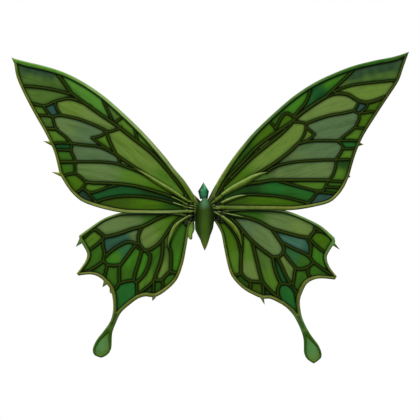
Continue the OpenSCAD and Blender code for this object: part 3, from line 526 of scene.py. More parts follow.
def rim_paint(name):
    """Satin stem-green rod with painted light: pale where it faces up, olive below, and painted
    shade that darkens its outer edge a little and turns it near black beside the panes. far
    greens it away from the root, warm yellows it, shaded darkens it, pale lays a painted
    highlight stripe along it, core darkens the middle of a tail's stem, and tail turns it plain
    green."""
    p = Paint(name, "6f8a30", Specular_IOR_Level=0.08)
    grain = p.grain(90.0, (1.0, 0.4, 1.0))
    light = p.plus(p.number("light"), p.vary(grain, -0.07, 0.07))
    across, shaded, tail = p.number("across"), p.number("shaded"), p.number("tail")
    fresh = toned(p, light, ("173a0a", "2f5f14", "4b8226", "74a446", "a8c880"))
    dark_green = toned(p, light, ("0a2404", "183e0a", "285a14", "3e7028", "6c9450"))
    olive = toned(p, light, ("20280a", "444c10", "68721c", "a0a83c", "d4d684"))
    dark_olive = toned(p, light, ("121a04", "283008", "3a4410", "565e1c", "868c44"))
    green = p.mix(shaded, p.mix(p.number("far"), toned(p, light, RIB_TONES), fresh), dark_green)
    tone = p.mix(p.number("warm"), green, p.mix(shaded, olive, dark_olive))
    # painted highlight: a pale stripe along the rod
    stripe = p.ramp(across, [(0.08, 0.0), (0.3, 1.0), (0.5, 1.0), (0.72, 0.0)])
    tone = p.mix(p.scaled(stripe, p.number("pale")), tone, "a6c07c")
    tone = p.mix(p.number("core"), tone, "14300a")
    tone = p.mix(tail, tone, p.ramp(light, [(0.1, "1f3a06"), (0.5, "34590f"), (0.9, "5f8a2c")]))
    tone = p.mix(p.spread(p.cloud(28.0), 0.4, 0.7, 0.0, 0.35), tone, p.times(tone, "98ac68"))
    # painted shade: a little darker at the rod's outer edge and near black beside the panes
    shade = p.ramp(across, [(0.0, 0.55), (0.10, 1.0), (0.66, 1.0), (0.86, 0.42), (1.0, 0.12)])
    tone = p.mix(p.maths("SUBTRACT", 1.0, tail), tone, p.times(tone, shade))
    return p.finish(tone, p.vary(grain, 0.32, 0.48), grain, 0.22, 0.0008)


def spar_paint(name):
    """A green blade, pale where it faces up, with painted shade darkening its edges"""
    p = Paint(name, "567a28", Specular_IOR_Level=0.06)
    grain = p.grain(240.0, (1.0, 1.0, 0.35))
    tone = toned(p, p.plus(p.number("light"), p.vary(grain, -0.08, 0.08)), RIB_TONES)
    shade = p.ramp(p.spread(p.number("edge"), 0.0, 4.0), [(0.0, 0.35), (0.3, 1.0)])
    return p.finish(p.times(tone, shade), p.vary(grain, 0.32, 0.5), grain, 0.25, 0.0007)


# ---- Tints of the panes: where on the wing each tint sits ----

PANE_TINTS = {
    "pane_sage": {"slate": "32544a", "dusk": "29432f", "teal_mist": "44715c", "pine": "2f5a46",
                  "mist": "57724a", "sage": "647e47"},
    "pane_lime": {"khaki": "6a8440", "lime": "678435", "olive": "446b0e"},
    "pane_grass": {"fern": "4e6e2c", "fresh": "517a22", "spring": "4f842e", "bright": "3f7a1c",
                   "grass": "386618"},
    "pane_moss": {"moss": "3a5610", "forest": "2a5410", "deep": "1d4014", "night": "1a2a0d"},
    "pane_emerald": {"emerald": "1c5426", "jade": "256628", "sea": "32663a"},
}
TINTS = {tint: (srgb(code), slot) for slot, tints in PANE_TINTS.items() for tint, code in tints.items()}
WASHES = {
    "left_forewing": {
        "dusk": [(-352, 279), (-335, 275), (-320, 271), (-305, 266), (-243, 24)],
        "fern": [(-294, 258), (-350, 262), (-330, 258), (-312, 252), (-295, 246), (-310, 226), (-345, 228),
                 (-185, 196), (-316, 173), (-160, 88)],
        "spring": [(-250, 240), (-222, 218)],
        "fresh": [(-155, 165), (-125, 138), (-333, 197), (-308, 148), (-203, 136), (-70, 60), (-140, 65),
                  (-215, 44)],
        "moss": [(-100, 118), (-180, 12)],
        "forest": [(-75, 92), (-60, 2)],
        "slate": [(-305, 200)],
        "lime": [(-262, 197), (-165, 130), (-120, 98)],
        "khaki": [(-226, 190)],
        "sage": [(-280, 160), (-200, 75)],
        "mist": [(-235, 150), (-245, 112), (-205, 108)],
        "emerald": [(-287, 125), (-190, 28), (-150, 38)],
        "grass": [(-280, 106), (-275, 82)],
        "olive": [(-262, 55), (-90, 40), (-110, 8)],
        "deep": [(-110, 30)],
    },
    "right_forewing": {
        "dusk": [(372, 283), (352, 280), (332, 276), (312, 270), (297, 263)],
        "fern": [(374, 268), (350, 265), (325, 261), (300, 253), (284, 248), (118, 64)],
        "lime": [(310, 235), (350, 240), (160, 140), (120, 105), (205, 150)],
        "bright": [(252, 254), (270, 268), (200, 220), (172, 200)],
        "emerald": [(230, 232)],
        "grass": [(150, 182), (256, 49)],
        "olive": [(162, 178), (115, 150), (70, 60), (342, 204), (320, 176), (136, 19), (110, 12)],
        "forest": [(80, 112), (250, 37), (190, 46), (180, 25)],
        "moss": [(50, 75), (60, 10)],
        "fresh": [(130, 128), (310, 148), (287, 110), (268, 72), (230, 45)],
        "khaki": [(240, 205), (275, 212)],
        "mist": [(225, 160), (272, 168), (225, 116), (255, 118)],
        "slate": [(316, 203), (245, 22)],
        "jade": [(290, 128), (186, 33), (148, 48)],
        "deep": [(277, 90), (88, 36)],
        "sage": [(200, 75), (150, 72), (240, 78)],
        "night": [(137, 85)],
    },
    "left_hindwing": {
        "sage": [(-190, -38), (-150, -25), (-137, -58)],
        "grass": [(-100, -17), (-222, -85), (-212, -102), (-207, -119), (-182, -125), (-182, -145),
                  (-155, -132), (-105, -100), (-55, -60), (-70, -140)],
        "khaki": [(-110, -52)],
        "fresh": [(-85, -38), (-220, -60), (-120, -142)],
        "olive": [(-60, -18)],
        "pine": [(-188, -68), (-160, -62)],
        "sea": [(-160, -84)],
        "bright": [(-178, -98), (-165, -104), (-150, -102), (-124, -108), (-52, -108)],
        "jade": [(-157, -170)],
        "fern": [(-80, -90)],
        "lime": [(-82, -122)],
        "forest": [(-95, -154)],
        "deep": [(-112, -157)],
    },
    "right_hindwing": {
        "khaki": [(190, -40), (167, -118), (88, -124)],
        "sage": [(150, -22), (118, -64)],
        "grass": [(95, -12), (222, -126), (200, -106), (193, -140)],
        "mist": [(78, -28)],
        "teal_mist": [(172, -64), (186, -72)],
        "pine": [(206, -80)],
        "olive": [(233, -65), (55, -60)],
        "bright": [(228, -98)],
        "sea": [(178, -94)],
        "emerald": [(150, -120), (152, -138)],
        "fern": [(118, -100)],
        "fresh": [(132, -142), (92, -85), (58, -112)],
        "jade": [(165, -170)],
        "forest": [(79, -146)],
        "moss": [(106, -157)],
        "deep": [(130, -165)],
    },
}

# How far a wash holds before it starts to give way, in mm2, and how fast it then does
WASH_HOLD = 16.0
WASH_FALL = -1.25


def tint_pane(places, segments, washes):
    """The colour at each place of a pane, blended from the washes inside it, and the tint that
    rules it"""
    named = [(tint, spot) for tint, spots in washes.items() for spot in spots]
    spots = np.array([spot for _, spot in named], float)
    within = np.nonzero(inside(spots, segments))[0]
    if not len(within):
        middle = segments.reshape(-1, 2).mean(axis=0)
        within = [int(np.argmin(((spots - middle) ** 2).sum(axis=1)))]
    colours = np.array([TINTS[named[i][0]][0] for i in within])
    reach = np.array([((places - spots[i]) ** 2).sum(axis=1) for i in within]).T + WASH_HOLD
    weight = reach ** WASH_FALL
    weight /= weight.sum(axis=1, keepdims=True)
    return weight @ colours, named[within[int(np.argmax(weight.sum(axis=0)))]][0]


# ---- Wings ----

PANE_STEP = 3.2
VEIN_STEP = 1.35
RIM_STEP = 1.5
SPAR_STEP = 0.9
BARREL_R = 4.5
SWING_R = 7.25

PANE_PAINT = {slot: pane_paint(slot) for slot in PANE_TINTS}
VEIN_PAINT = vein_paint("vein_web")
RIM_PAINT = rim_paint("stem_rim")
SPAR_PAINT = spar_paint("spar_blade")


def middle_and_half(node, axis=1):
    """The middle and half the size, in mm, of a node's box along an axis, which is Y unless said"""
    lo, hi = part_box(node)
    return (lo[axis] + hi[axis]) / 2 / MM, (hi[axis] - lo[axis]) / 2 / MM


def hinge_axis(wing):
    """Where a wing's hinge stands, as its X and Y in mm"""
    joint = next(j for j in frame["joints"] if j["name"] == f"{wing}_fold")
    return joint["pos_m"][0] / MM, joint["pos_m"][1] / MM


def near_hinge(height, wing, middle, toward):
    """The same height, kept inside the circle in which the wing may swing past the root.
    toward is -1 for the face that looks forwards and 1 for the other."""
    axis_x, axis_y = hinge_axis(wing)

    def held(places, depth):
        off = np.minimum((places[:, 0] - axis_x) * np.sign(axis_x), 0)
        most = np.sqrt(np.maximum(SWING_R ** 2 - off ** 2, 0.01)) - toward * (middle - axis_y)
        return np.minimum(height(places, depth), np.where(off < 0, most, np.inf))
    return held


# Ribs as chains of (x, z, width) from the wing in to the body, the same across the wing's web,
# its hinge sleeve and the fixed root
ROOT_RIBS = {
    "left_forewing": [
        [(-60, 33, 6), (-33, 15.5, 6), (-12, 7, 4)],
        [(-64, 24, 3), (-36, 9.5, 3.5), (-12, 3, 4)],
        [(-62, 13, 2.5), (-36, 3.5, 3), (-12, -1, 3)],
        [(-47, -5.7, 6), (-32, -5.5, 6), (-12, -4, 5)],
    ],
    "right_forewing": [
        [(60, 43, 10), (33, 26, 8), (12, 10, 6)],
        [(60, 22.5, 7), (33, 11.5, 6), (12, 5, 4)],
        [(60, 14, 2.5), (38, 7, 3), (12, 1, 3)],
        [(47, 1.6, 6), (32, 1.6, 6), (12, 0, 5)],
    ],
    "left_hindwing": [
        [(-58, -35, 7), (-34, -15.8, 6), (-12, -5, 4)],
        [(-60, -13, 3), (-34, -11.5, 3), (-12, -6, 3)],
    ],
    "right_hindwing": [
        [(55, -32, 8), (34, -14.3, 6), (12, -2, 4)],
        [(62, -13, 4), (37, -7.5, 3.5), (12, -2, 3)],
    ],
}
# The leading rods of the forewings where they cross the fixed root
LEADING_RODS = [[(-34, 40, 14), (-24, 26, 14), (-12, 10, 10)],
                [(30, 52, 14), (20, 34, 14), (9, 14, 10)]]
ALL_RIBS = [rib for ribs in ROOT_RIBS.values() for rib in ribs] + LEADING_RODS


def rib_field(places, ribs):
    """1 on the middle of a rib, falling to 0 at its edges"""
    best = np.zeros(len(places))
    for rib in np.array(ribs, float):
        for a, b in zip(rib, rib[1:]):
            d = b[:2] - a[:2]
            t = np.clip(((places - a[:2]) @ d) / (d @ d), 0, 1)
            off = np.linalg.norm(places - (a[:2] + t[:, None] * d), axis=1)
            half = (a[2] + t * (b[2] - a[2])) / 2
            best = np.maximum(best, np.clip(1 - off / half, 0, 1))
    return best


def rounded_depth(places, segments, step=0.5, block=400):
    """Distance from the outline that also shrinks in its corners"""
    edge = samples_along(segments, step)
    out = np.empty(len(places))
    for start in range(0, len(places), block):
        gap = np.linalg.norm(places[start:start + block, None] - edge[None], axis=2)
        out[start:start + block] = np.sqrt(2 / step / (1 / np.maximum(gap, 0.05) ** 3).sum(axis=1))
    return out


def brushed(pane, places):
    """Gives a pane its own lengthwise and crosswise measures, so that washes follow its shape.
    Its place shifts them, so that no two panes are brushed alike."""
    middle = places.mean(axis=0)
    _, axes = np.linalg.eigh(np.cov((places - middle).T))
    along = axes[:, 1] * (1 if axes[0, 1] > 0 else -1)
    across = axes[:, 0] * (1 if axes[1, 0] > 0 else -1)
    give(pane, run=(places - middle) @ along + 3.7 * middle[0],
         flow=(places - middle) @ across + 2.3 * middle[1])


def make_panes(node, wing):
    points, tris = flat_faces(node)
    groups = sorted(islands(tris), key=lambda g: tuple(points[g].reshape(-1, 2).mean(axis=0)))
    middle, _ = middle_and_half(node)
    shape = pillow(0.5, 1.15, 9.0)
    for k, group in enumerate(groups, 1):
        segments = points[border(group)]
        pane, places, depth = relief(f"{node}_{k:02d}", segments, PANE_STEP, middle, shape, shape)
        colours, tint = tint_pane(places, segments, WASHES[wing])
        give(pane, edge=np.minimum(depth, 1.25 * rounded_depth(places, segments)), tint=colours)
        brushed(pane, places)
        slot = TINTS[tint][1]
        placed(pane, PANE_PAINT[slot], slot, node)


def make_veins(node, wing, is_fore):
    """A wing's web of veins, with the root's ribs carried on over it"""
    middle, half = middle_and_half(node)
    shape = ridge(0.7, half + 0.35, 2.3)

    def front(places, depth):
        return shape(places, depth) + 0.9 * np.sqrt(rib_field(places, ROOT_RIBS[wing]))

    web, places, depth = relief(
        f"{node}_web", outline_of(node, front=not is_fore), VEIN_STEP, middle,
        near_hinge(front, wing, middle, -1), near_hinge(shape, wing, middle, 1), sharp_deg=75.0)
    give(web, edge=depth, rib=rib_field(places, ROOT_RIBS[wing]))
    lit(web)
    placed(web, VEIN_PAINT, "vein_web", node)


# How strong the painted highlight stripe along each wing's rods is, and how dark and how green they are
ROD_LOOKS = {"left_forewing": (0.7, 0.0, 1.0), "right_forewing": (0.15, 0.9, 1.0),
             "left_hindwing": (0.2, 0.25, 0.25), "right_hindwing": (0.35, 0.35, 0.9)}
SCREW_HOLE_R = 2.6
TOUCH = 0.9  # a rod's edge this near to a vein or pane lies inside the wing


def make_rim(node, wing, inner_nodes, is_fore):
    """The rods round a wing, with the holes of the hinge's screws closed over. across runs from
    0 at the wing's own edge to 1 beside the panes."""
    segments = outline_of(node, front=not is_fore)
    points, tris = flat_faces(f"{wing}_screws", front=False)
    screws = tree_of([points[g].reshape(-1, 2).mean(axis=0) for g in islands(tris)])
    segments = segments[distances(segments.mean(axis=1), screws) > SCREW_HOLE_R]
    neighbours = [samples_along(outline_of(n, not is_fore), 0.8) for n in inner_nodes]
    is_inner = distances(segments.mean(axis=1), tree_of(np.concatenate(neighbours))) < TOUCH
    middle, half = middle_and_half(node)
    shape = dome(0.8, half + 0.3, 3.1)
    rod, places, depth = relief(
        f"{node}_rod", segments, RIM_STEP, middle,
        near_hinge(shape, wing, middle, -1), near_hinge(shape, wing, middle, 1), sharp_deg=60.0)
    outer = distances(places, tree_of(samples_along(segments[~is_inner])))
    inner = distances(places, tree_of(samples_along(segments[is_inner])))
    reach, up = np.abs(places[:, 0]), places[:, 1]
    if is_fore:
        warm = np.minimum(rising(0.82 * reach - up, 0, 45), rising(reach, 60, 170))
        tail = np.zeros(len(places))
        dark_zone = rising(up, 35, 85)
    else:
        warm = np.minimum(rising(up, -70, -120), rising(up, -232, -192))
        tail = rising(distances(places, tree_of(samples_along(outline_of(inner_nodes[-1])))), 19, 5)
        dark_zone = 1 - tail
    stripe, dark, green = ROD_LOOKS[wing]
    give(rod,
         across=outer / (outer + inner + 1e-6),
         core=0.8 * (1 - tail) * rising(up, -172, -188) * rising(depth, 1.5, 5.0),
         warm=0.85 * warm,
         tail=tail,
         far=green * rising(reach, 90, 210),
         shaded=dark * rising(reach, 50, 110) * dark_zone,
         # pale: the strength of the painted highlight stripe
         pale=stripe * rising(reach, 30, 90) * rising(reach, 300, 220) * (1 - 0.6 * warm))
    lit(rod)
    placed(rod, RIM_PAINT, "stem_rim", node)


def make_spars(node):
    points, tris = flat_faces(node)
    middle, half = middle_and_half(node)
    for k, group in enumerate(islands(tris), 1):
        blade, _, depth = relief(
            f"{node}_blade_{k}", points[border(group)], SPAR_STEP, middle,
            ridge(0.4, half + 1.5, 4.2), ridge(half - 0.1, half, 4.2), sharp_deg=60.0)
        give(blade, edge=depth)
        lit(blade)
        placed(blade, SPAR_PAINT, "spar_blade", node)


for wing in WINGS:
    is_fore = wing.endswith("forewing")
    sheets = ("front", "outer", "lower") if is_fore else ("upper", "lower")
    paned = [f"{wing}_{sheet}_panes" for sheet in sheets]
    for node in paned:
        make_panes(node, wing)
    make_veins(f"{wing}_veins", wing, is_fore)
    paddles = [] if is_fore else [wing.replace("hindwing", "tail_paddle")]
    make_rim(f"{wing}_rim", wing, [f"{wing}_veins"] + paned + paddles, is_fore)
    make_spars(f"{wing}_spars")


# ---- Root: ribs that run in to the body, hinge sleeves, leaflet, paddles ----

def root_paint(name):
    """Near-black green that stands in for the shade between the ribs and beside the body, with
    olive-green ribs running through it, and low down the dark green of the leaflet's shaded side
    """
    p = Paint(name, "1a260a", Specular_IOR_Level=0.15)
    grain = p.grain(300.0, (0.4, 1.0, 1.0))
    tone = ribbed(p, p.ramp(grain, [(0.35, "080e04"), (0.65, "101a07")]))
    # painted shade: low down the root takes the dark green of the leaflet's shaded side
    tone = p.mix(p.number("backing"), tone, p.ramp(grain, [(0.35, "1d3c0c"), (0.65, "27480f")]))
    return p.finish(tone, p.vary(grain, 0.36, 0.55), grain, 0.25, 0.0007)


ROOT_PAINT = root_paint("root_ribs")
SLEEVE_STEP = 0.6
SLEEVE_SKIN = 0.9
SLEEVE_R = 7.2
SLEEVE_FIT = 0.15
SLEEVE_IN = 6.9
SLEEVE_OUT = 6.6
RAISED_Y = 2.0


def make_sleeve(wing):
    """A shell round the front of a hinge leaf's barrel, swollen where the ribs cross it"""
    axis_x, axis_y = hinge_axis(wing)
    points, _ = welded(f"{wing}_leaf")
    off = np.hypot(points[:, 0] - axis_x, points[:, 1] - axis_y)
    heights = points[np.abs(off - BARREL_R) < 0.1][:, 2]
    low, high = heights.min() + SLEEVE_FIT, heights.max() - SLEEVE_FIT
    sign = np.sign(axis_x)
    x0, x1 = sorted((axis_x - sign * SLEEVE_IN, axis_x + sign * SLEEVE_OUT))
    box = np.array([(x0, low), (x1, low), (x1, high), (x0, high)], float)
    thin = BARREL_R + SLEEVE_SKIN

    def front(places, depth):
        swell = thin + (SLEEVE_R - thin) * np.sqrt(rib_field(places, ROOT_RIBS[wing]))
        swell -= 0.5 * (1 - smooth(depth))
        off = places[:, 0] - axis_x
        return np.sqrt(np.maximum(swell ** 2 - np.minimum(off ** 2, 0.98 * swell ** 2), 0.3))

    def back(places, depth):
        off = places[:, 0] - axis_x
        return -np.sqrt(np.maximum((BARREL_R + SLEEVE_FIT) ** 2 - off ** 2, 0.04))

    sides = np.stack([box, np.roll(box, -1, axis=0)], axis=1)
    sleeve, places, _ = relief(f"{wing}_sleeve", sides, SLEEVE_STEP, axis_y, front, back, sharp_deg=60.0)
    give(sleeve, rib=rib_field(places, ROOT_RIBS[wing]))
    lit(sleeve)
    placed(sleeve, ROOT_PAINT, "root_ribs", f"{wing}_leaf", replaces=False)


def make_root(node):
    """The fixed root as a base plate and the raised ribs on it, whose colour fades into painted
    shade beside the body"""
    lo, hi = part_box(node)
    raised, base = outline_of(node), outline_of(node, front=False)
    middle = (lo.y / MM + RAISED_Y + hi.y / MM) / 2
    plate, places, _ = relief(f"{node}_base", base, 1.6, middle, pillow(0.7, 1.1, 3), pillow(1.0, 1.0, 3))
    give(plate, rib=np.zeros(len(places)))
    lit(plate)
    # painted shade: the leaflet's shaded dark green, low down on the root
    give(plate, backing=rising(places[:, 1], -12, -20))
    placed(plate, ROOT_PAINT, "root_ribs", node)

    def raised_front(places, depth):
        return 0.4 + 0.8 * smooth(depth / 2.5) + 1.0 * np.sqrt(rib_field(places, ALL_RIBS))

    ribs, places, depth = relief(f"{node}_raised", raised, 0.9, lo.y / MM + RAISED_Y / 2, raised_front,
                                 pillow(0.9, 1.0, 2), sharp_deg=60.0)
    # painted shade: the ribs' colour fades towards the near-black beside the body
    clear_of_body_shade = 0.35 + 0.65 * rising(np.abs(places[:, 0]), 13, 25)
    give(ribs, rib=rib_field(places, ALL_RIBS) * clear_of_body_shade)
    lit(ribs)
    # painted shade: the leaflet's shaded dark green, low down on the raised ribs
    give(ribs, backing=rising(places[:, 1], -12, -20) * smooth(depth / 1.2))
    placed(ribs, ROOT_PAINT, "root_ribs", node, replaces=False)


for wing in WINGS:
    make_sleeve(wing)
make_root("root_ribs")


def leaflet_paint(name):
    """Bright yellow-green blade, with painted shade darkening it towards its upper inner edge"""
    p = Paint(name, "6f9426", Specular_IOR_Level=0.25)
    grain = p.grain(220.0, (1.0, 1.0, 0.3))
    edge = p.plus(p.spread(p.number("edge"), 0.0, 5.0), p.vary(grain, -0.12, 0.12))
    tone = p.ramp(edge, [(0.0, "2e4a10"), (0.4, "5f8427"), (1.0, "7da33c")])
    # painted shade on the side of the blade turned from the light
    shade = p.ramp(p.number("along"), [(0.0, 1.0), (0.55, 0.85), (1.0, 0.30)])
    return p.finish(p.times(tone, shade), p.vary(grain, 0.34, 0.5), grain, 0.25, 0.0006)


def paddle_paint(name):
    """Light green paddle, bluer towards its upper left, olive towards its foot, and darkened by
    painted shade just inside its edge
    """
    p = Paint(name, "5a8846", Specular_IOR_Level=0.15)
    wash = p.cloud(45.0, twist=0.6)
    tone = p.ramp(p.number("across"), [(0.0, "4a8a4a"), (0.5, "5c9250"), (1.0, "5c8240")])
    tone = p.mix(p.spread(p.number("along"), 0.45, 0.0, 0.0, 0.7), tone, "66843c")
    tone = p.mix(p.spread(wash, 0.35, 0.65, 0.0, 0.35), tone, p.times(tone, "b0c490"))
    # painted shade just inside the paddle's edge
    edge = p.spread(p.number("edge"), 0.0, 10.0)
    tone = p.times(tone, p.ramp(edge, [(0.0, 0.84), (0.25, 0.96), (0.5, 1.0)]))
    tone = p.mix(p.spread(p.number("along"), 0.62, 1.0, 0.0, 0.8), tone, "46681c")
    return p.finish(tone, p.vary(wash, 0.38, 0.55), wash, 0.15, 0.0006)


def shares_of(places):
    """How far across and how far up each place is, from 0 to 1"""
    low, high = places.min(axis=0), places.max(axis=0)
    return ((places - low) / (high - low)).T


def make_leaflet(node):
    middle, half = middle_and_half(node)
    leaf, places, depth = relief(f"{node}_blade", outline_of(node), 0.8, middle,
                                 ridge(0.4, half + 0.8, 5.0), ridge(half - 0.2, half, 5.0), sharp_deg=60.0)
    across, up = shares_of(places)
    give(leaf, edge=depth, along=np.clip(0.75 * up + 0.45 * across - 0.15, 0, 1))
    placed(leaf, leaflet_paint("root_leaflet"), "root_leaflet", node)


PADDLE_STEP = 2.0
PADDLE_PAINT = paddle_paint("tail_paddle")


def make_paddle(node):
    shape = pillow(0.8, 2.2, 9.0)
    middle, _ = middle_and_half(node)
    paddle, places, depth = relief(f"{node}_leaf", outline_of(node), PADDLE_STEP, middle, shape, shape)
    across, up = shares_of(places)
    give(paddle, edge=depth, across=across, along=up)
    placed(paddle, PADDLE_PAINT, "tail_paddle", node)


make_leaflet("left_root_leaflet")
for side in SIDES:
    make_paddle(f"{side}_tail_paddle")


# ---- Body and head ----

def axis_of(p, axis, low, high):
    """A share of the way along an axis of the row frame, between two places in mm"""
    place = p.node("ShaderNodeSeparateXYZ", {"Vector": p.place()}).outputs[axis]
    return p.spread(place, low * MM, high * MM)


BODY_HALF = 18.5


def body_paint(name):
    """Olive middle between sides darkened by painted shade, a grey-green dome with a painted
    highlight down its middle and painted shade at its sides, and a yellow-olive tip
    """
    p = Paint(name, "4a5f1c", Specular_IOR_Level=0.1)
    middle, _ = middle_and_half("body_shell", 0)
    grain = p.grain(160.0, (1.0, 1.0, 0.22))
    blotch = p.cloud(60.0)
    across = p.maths("SUBTRACT", axis_of(p, "X", middle - BODY_HALF, middle + BODY_HALF), 0.5)
    across = p.plus(p.maths("ABSOLUTE", across), p.vary(blotch, -0.04, 0.04))
    # painted shade: darker towards the sides of the rounded body, near black at its edge
    tone = p.ramp(across, [(0.0, "3f5c10"), (0.13, "3c5a10"), (0.26, "2c460a"), (0.40, "263608"),
                           (0.47, "182606"), (0.5, "0c1504")])
    tip = p.ramp(axis_of(p, "Z", -82, -50), [(0.0, "66641a"), (0.5, "54661a"), (1.0, "3f6212")])
    tone = p.mix(axis_of(p, "Z", -48, -70), tone, tip)
    tone = p.mix(axis_of(p, "Z", -30, 10), tone, p.times(tone, "c0b8a0"))
    crown = p.plus(axis_of(p, "Z", -2, 11), p.vary(blotch, -0.12, 0.12))
    # painted highlight down the middle of the dome, painted shade at its sides
    dome_light_and_shade = p.ramp(p.plus(across, p.scaled(axis_of(p, "Z", 32, 4), -0.1)),
                 [(0.0, "4c7850"), (0.12, "406a40"), (0.2, "2a4c1e"), (0.3, "1a3010")])
    return p.finish(p.mix(crown, tone, dome_light_and_shade), p.vary(grain, 0.34, 0.52), grain, 0.3, 0.0008)


def stone_paint(name):
    """Teal stone with its light painted on: a painted highlight in the middle, painted shade at
    the sides, and a point shaded on its left and lit on its right"""
    p = Paint(name, "2f7a50", Specular_IOR_Level=0.15)
    middle, half = middle_and_half("head_finial", 0)
    wash = p.cloud(90.0)
    across = p.plus(axis_of(p, "X", middle - half, middle + half), p.vary(wash, -0.05, 0.05))
    # painted light and shade across the stone's facets
    girdle = p.ramp(across, [(0.0, "06200f"), (0.18, "164f2c"), (0.40, "319060"), (0.62, "2d8454"),
                             (0.82, "144628"), (1.0, "05170b")])
    point = p.ramp(across, [(0.0, "0a3016"), (0.47, "125a2c"), (0.56, "56b876"), (0.78, "3c9458"),
                            (1.0, "1c5a30")])
    foot = p.ramp(across, [(0.0, "030f06"), (0.3, "0d3a1e"), (0.5, "1f6a40"), (0.7, "0d3a1e"),
                           (1.0, "030f06")])
    tone = p.mix(axis_of(p, "Z", 37, 43), girdle, point)
    tone = p.mix(axis_of(p, "Z", 29, 22), tone, foot)
    return p.finish(tone, p.vary(wash, 0.22, 0.36), wash, 0.12, 0.0006)


# ---- Carried-over hardware ----

def grained_paint(name, low, high, scale, rough, bump, specular, stretch=(1, 1, 1), **sockets):
    """A moulded or machined finish: two tones clouded together, with a fine grain"""
    p = Paint(name, high, Specular_IOR_Level=specular, **sockets)
    where = p.stretched(stretch)
    cloud = p.cloud(scale * 0.25, vector=where)
    grain = p.cloud(scale, 5.0, 0.65, vector=where)
    shares = p.plus(p.scaled(cloud, 0.6), p.scaled(grain, 0.4))
    tone = p.ramp(shares, [(0.34, low), (0.66, high)])
    return p.finish(tone, p.vary(grain, rough - 0.08, rough + 0.08), grain, bump, 0.0006)


TURNED = (1, 1, 0.15)
LEAF_METAL = grained_paint("hinge_leaf", "16220b", "24350f", 420.0, 0.46, 0.25, 0.3, Metallic=0.25)
STEEL = grained_paint("steel", "8b8f8f", "b9bcbb", 900.0, 0.3, 0.12, 0.5, TURNED, Metallic=1.0)
BLACK_STEEL = grained_paint("black_steel", "0d120a", "1a2212", 900.0, 0.45, 0.12, 0.3, TURNED, Metallic=0.4)
PLASTIC = grained_paint("back_plate", "232f14", "33431d", 700.0, 0.5, 0.3, 0.4)
RUBBER = grained_paint("bumper", "141512", "22231f", 600.0, 0.75, 0.3, 0.3)
BUCKLE = grained_paint("slider", "1a1c1a", "272a26", 800.0, 0.42, 0.25, 0.4)

FINISH = {
    "hinge_block": LEAF_METAL, "back_plate": PLASTIC, "rest_bumpers": RUBBER, "strap_sliders": BUCKLE,
    "body_shell": body_paint("body_shell"), "head_finial": stone_paint("finial"),
    "plate_screws": STEEL, "shell_screws": STEEL, "strap_rivets": STEEL,
}
for side in SIDES:
    FINISH[f"{side}_hinge_pin"] = STEEL
    FINISH[f"{side}_catch_hooks"] = LEAF_METAL
for wing in WINGS:
    FINISH[f"{wing}_leaf"] = LEAF_METAL
    FINISH[f"{wing}_screws"] = BLACK_STEEL
for node, paint in FINISH.items():
    dress(NODES[node], paint)

EASED = ["back_plate", "hinge_block", "rest_bumpers", "strap_sliders", "strap_rivets", "plate_screws"]
for node in EASED + [f"{wing}_leaf" for wing in WINGS]:
    weld = NODES[node].modifiers.new("weld", "WELD")
    weld.merge_threshold = 0.01 * MM
    eased = NODES[node].modifiers.new("eased_edges", "BEVEL")
    eased.width = 0.35 * MM
    eased.segments = 2
    eased.limit_method = "ANGLE"
    eased.angle_limit = math.radians(40)


# ---- Shoulder loops ----

def band_line(node):
    """The middle line, as (y, z) places, of a band that is seen edge-on along X, and each
    place's distance from its start"""
    points, tris = flat_faces(node, front=False, axis=0)
    ring = points[loop_of(border(tris))]
    step = np.roll(ring, -1, axis=0) - ring
    step /= np.linalg.norm(step, axis=1, keepdims=True)
    square = (step * np.roll(step, 1, axis=0)).sum(axis=1) < 0.5
    first, second = [i for i in range(len(ring)) if square[i] and square[(i + 1) % len(ring)]]
    ring = np.roll(ring, -first - 1, axis=0)
    cut = second - first
    shares = np.linspace(0, 1, 600)
    faces = []
    for line in (ring[:cut], ring[cut:][::-1]):
        fine, at = resampled(line, 0.2)
        faces.append(np.stack([np.interp(shares, at / at[-1], fine[:, k]) for k in (0, 1)], axis=1))
    return resampled((faces[0] + faces[1]) / 2, 1.3)


def cloth_paint(name, low, high, pitch, bump):
    """Woven cloth: threads crossing at a pitch in mm, from the mesh's own run and flow"""
    p = Paint(name, high, Specular_IOR_Level=0.2, Sheen_Weight=0.25, Sheen_Roughness=0.5)
    turns = 2 * math.pi / pitch
    warp = p.maths("SINE", p.scaled(p.number("flow"), turns))
    weft = p.maths("SINE", p.scaled(p.number("run"), turns * 0.8))
    weave = p.scaled(warp, weft)
    fuzz = p.cloud(900.0, 4.0, 0.6)
    shares = p.plus(p.spread(weave, -1, 1, 0.1, 0.7), p.vary(fuzz, -0.1, 0.3))
    tone = p.ramp(shares, [(0.1, low), (0.8, high)])
    wear = p.spread(p.cloud(40.0), 0.4, 0.75, 0.0, 0.3)
    tone = p.mix(wear, tone, p.mix(1.0, tone, "46503a", "SCREEN"))
    return p.finish(tone, p.vary(fuzz, 0.7, 0.9), weave, bump, 0.0004)


THREAD = grained_paint("thread", "5c6e34", "7c8f4c", 900.0, 0.7, 0.3, 0.5, Sheen_Weight=0.2)
WEBBING = cloth_paint("elastic", "10160c", "2c3820", 1.5, 0.5)
WEB_HALF_T = 1.0
WEB_POINTS = 41
RIB_PITCH = 2.2
TACK_ROWS = (1.6, 2.6, 11.4, 12.4)
TACK_LENGTH = 0.8
TACK_PITCH = 0.9


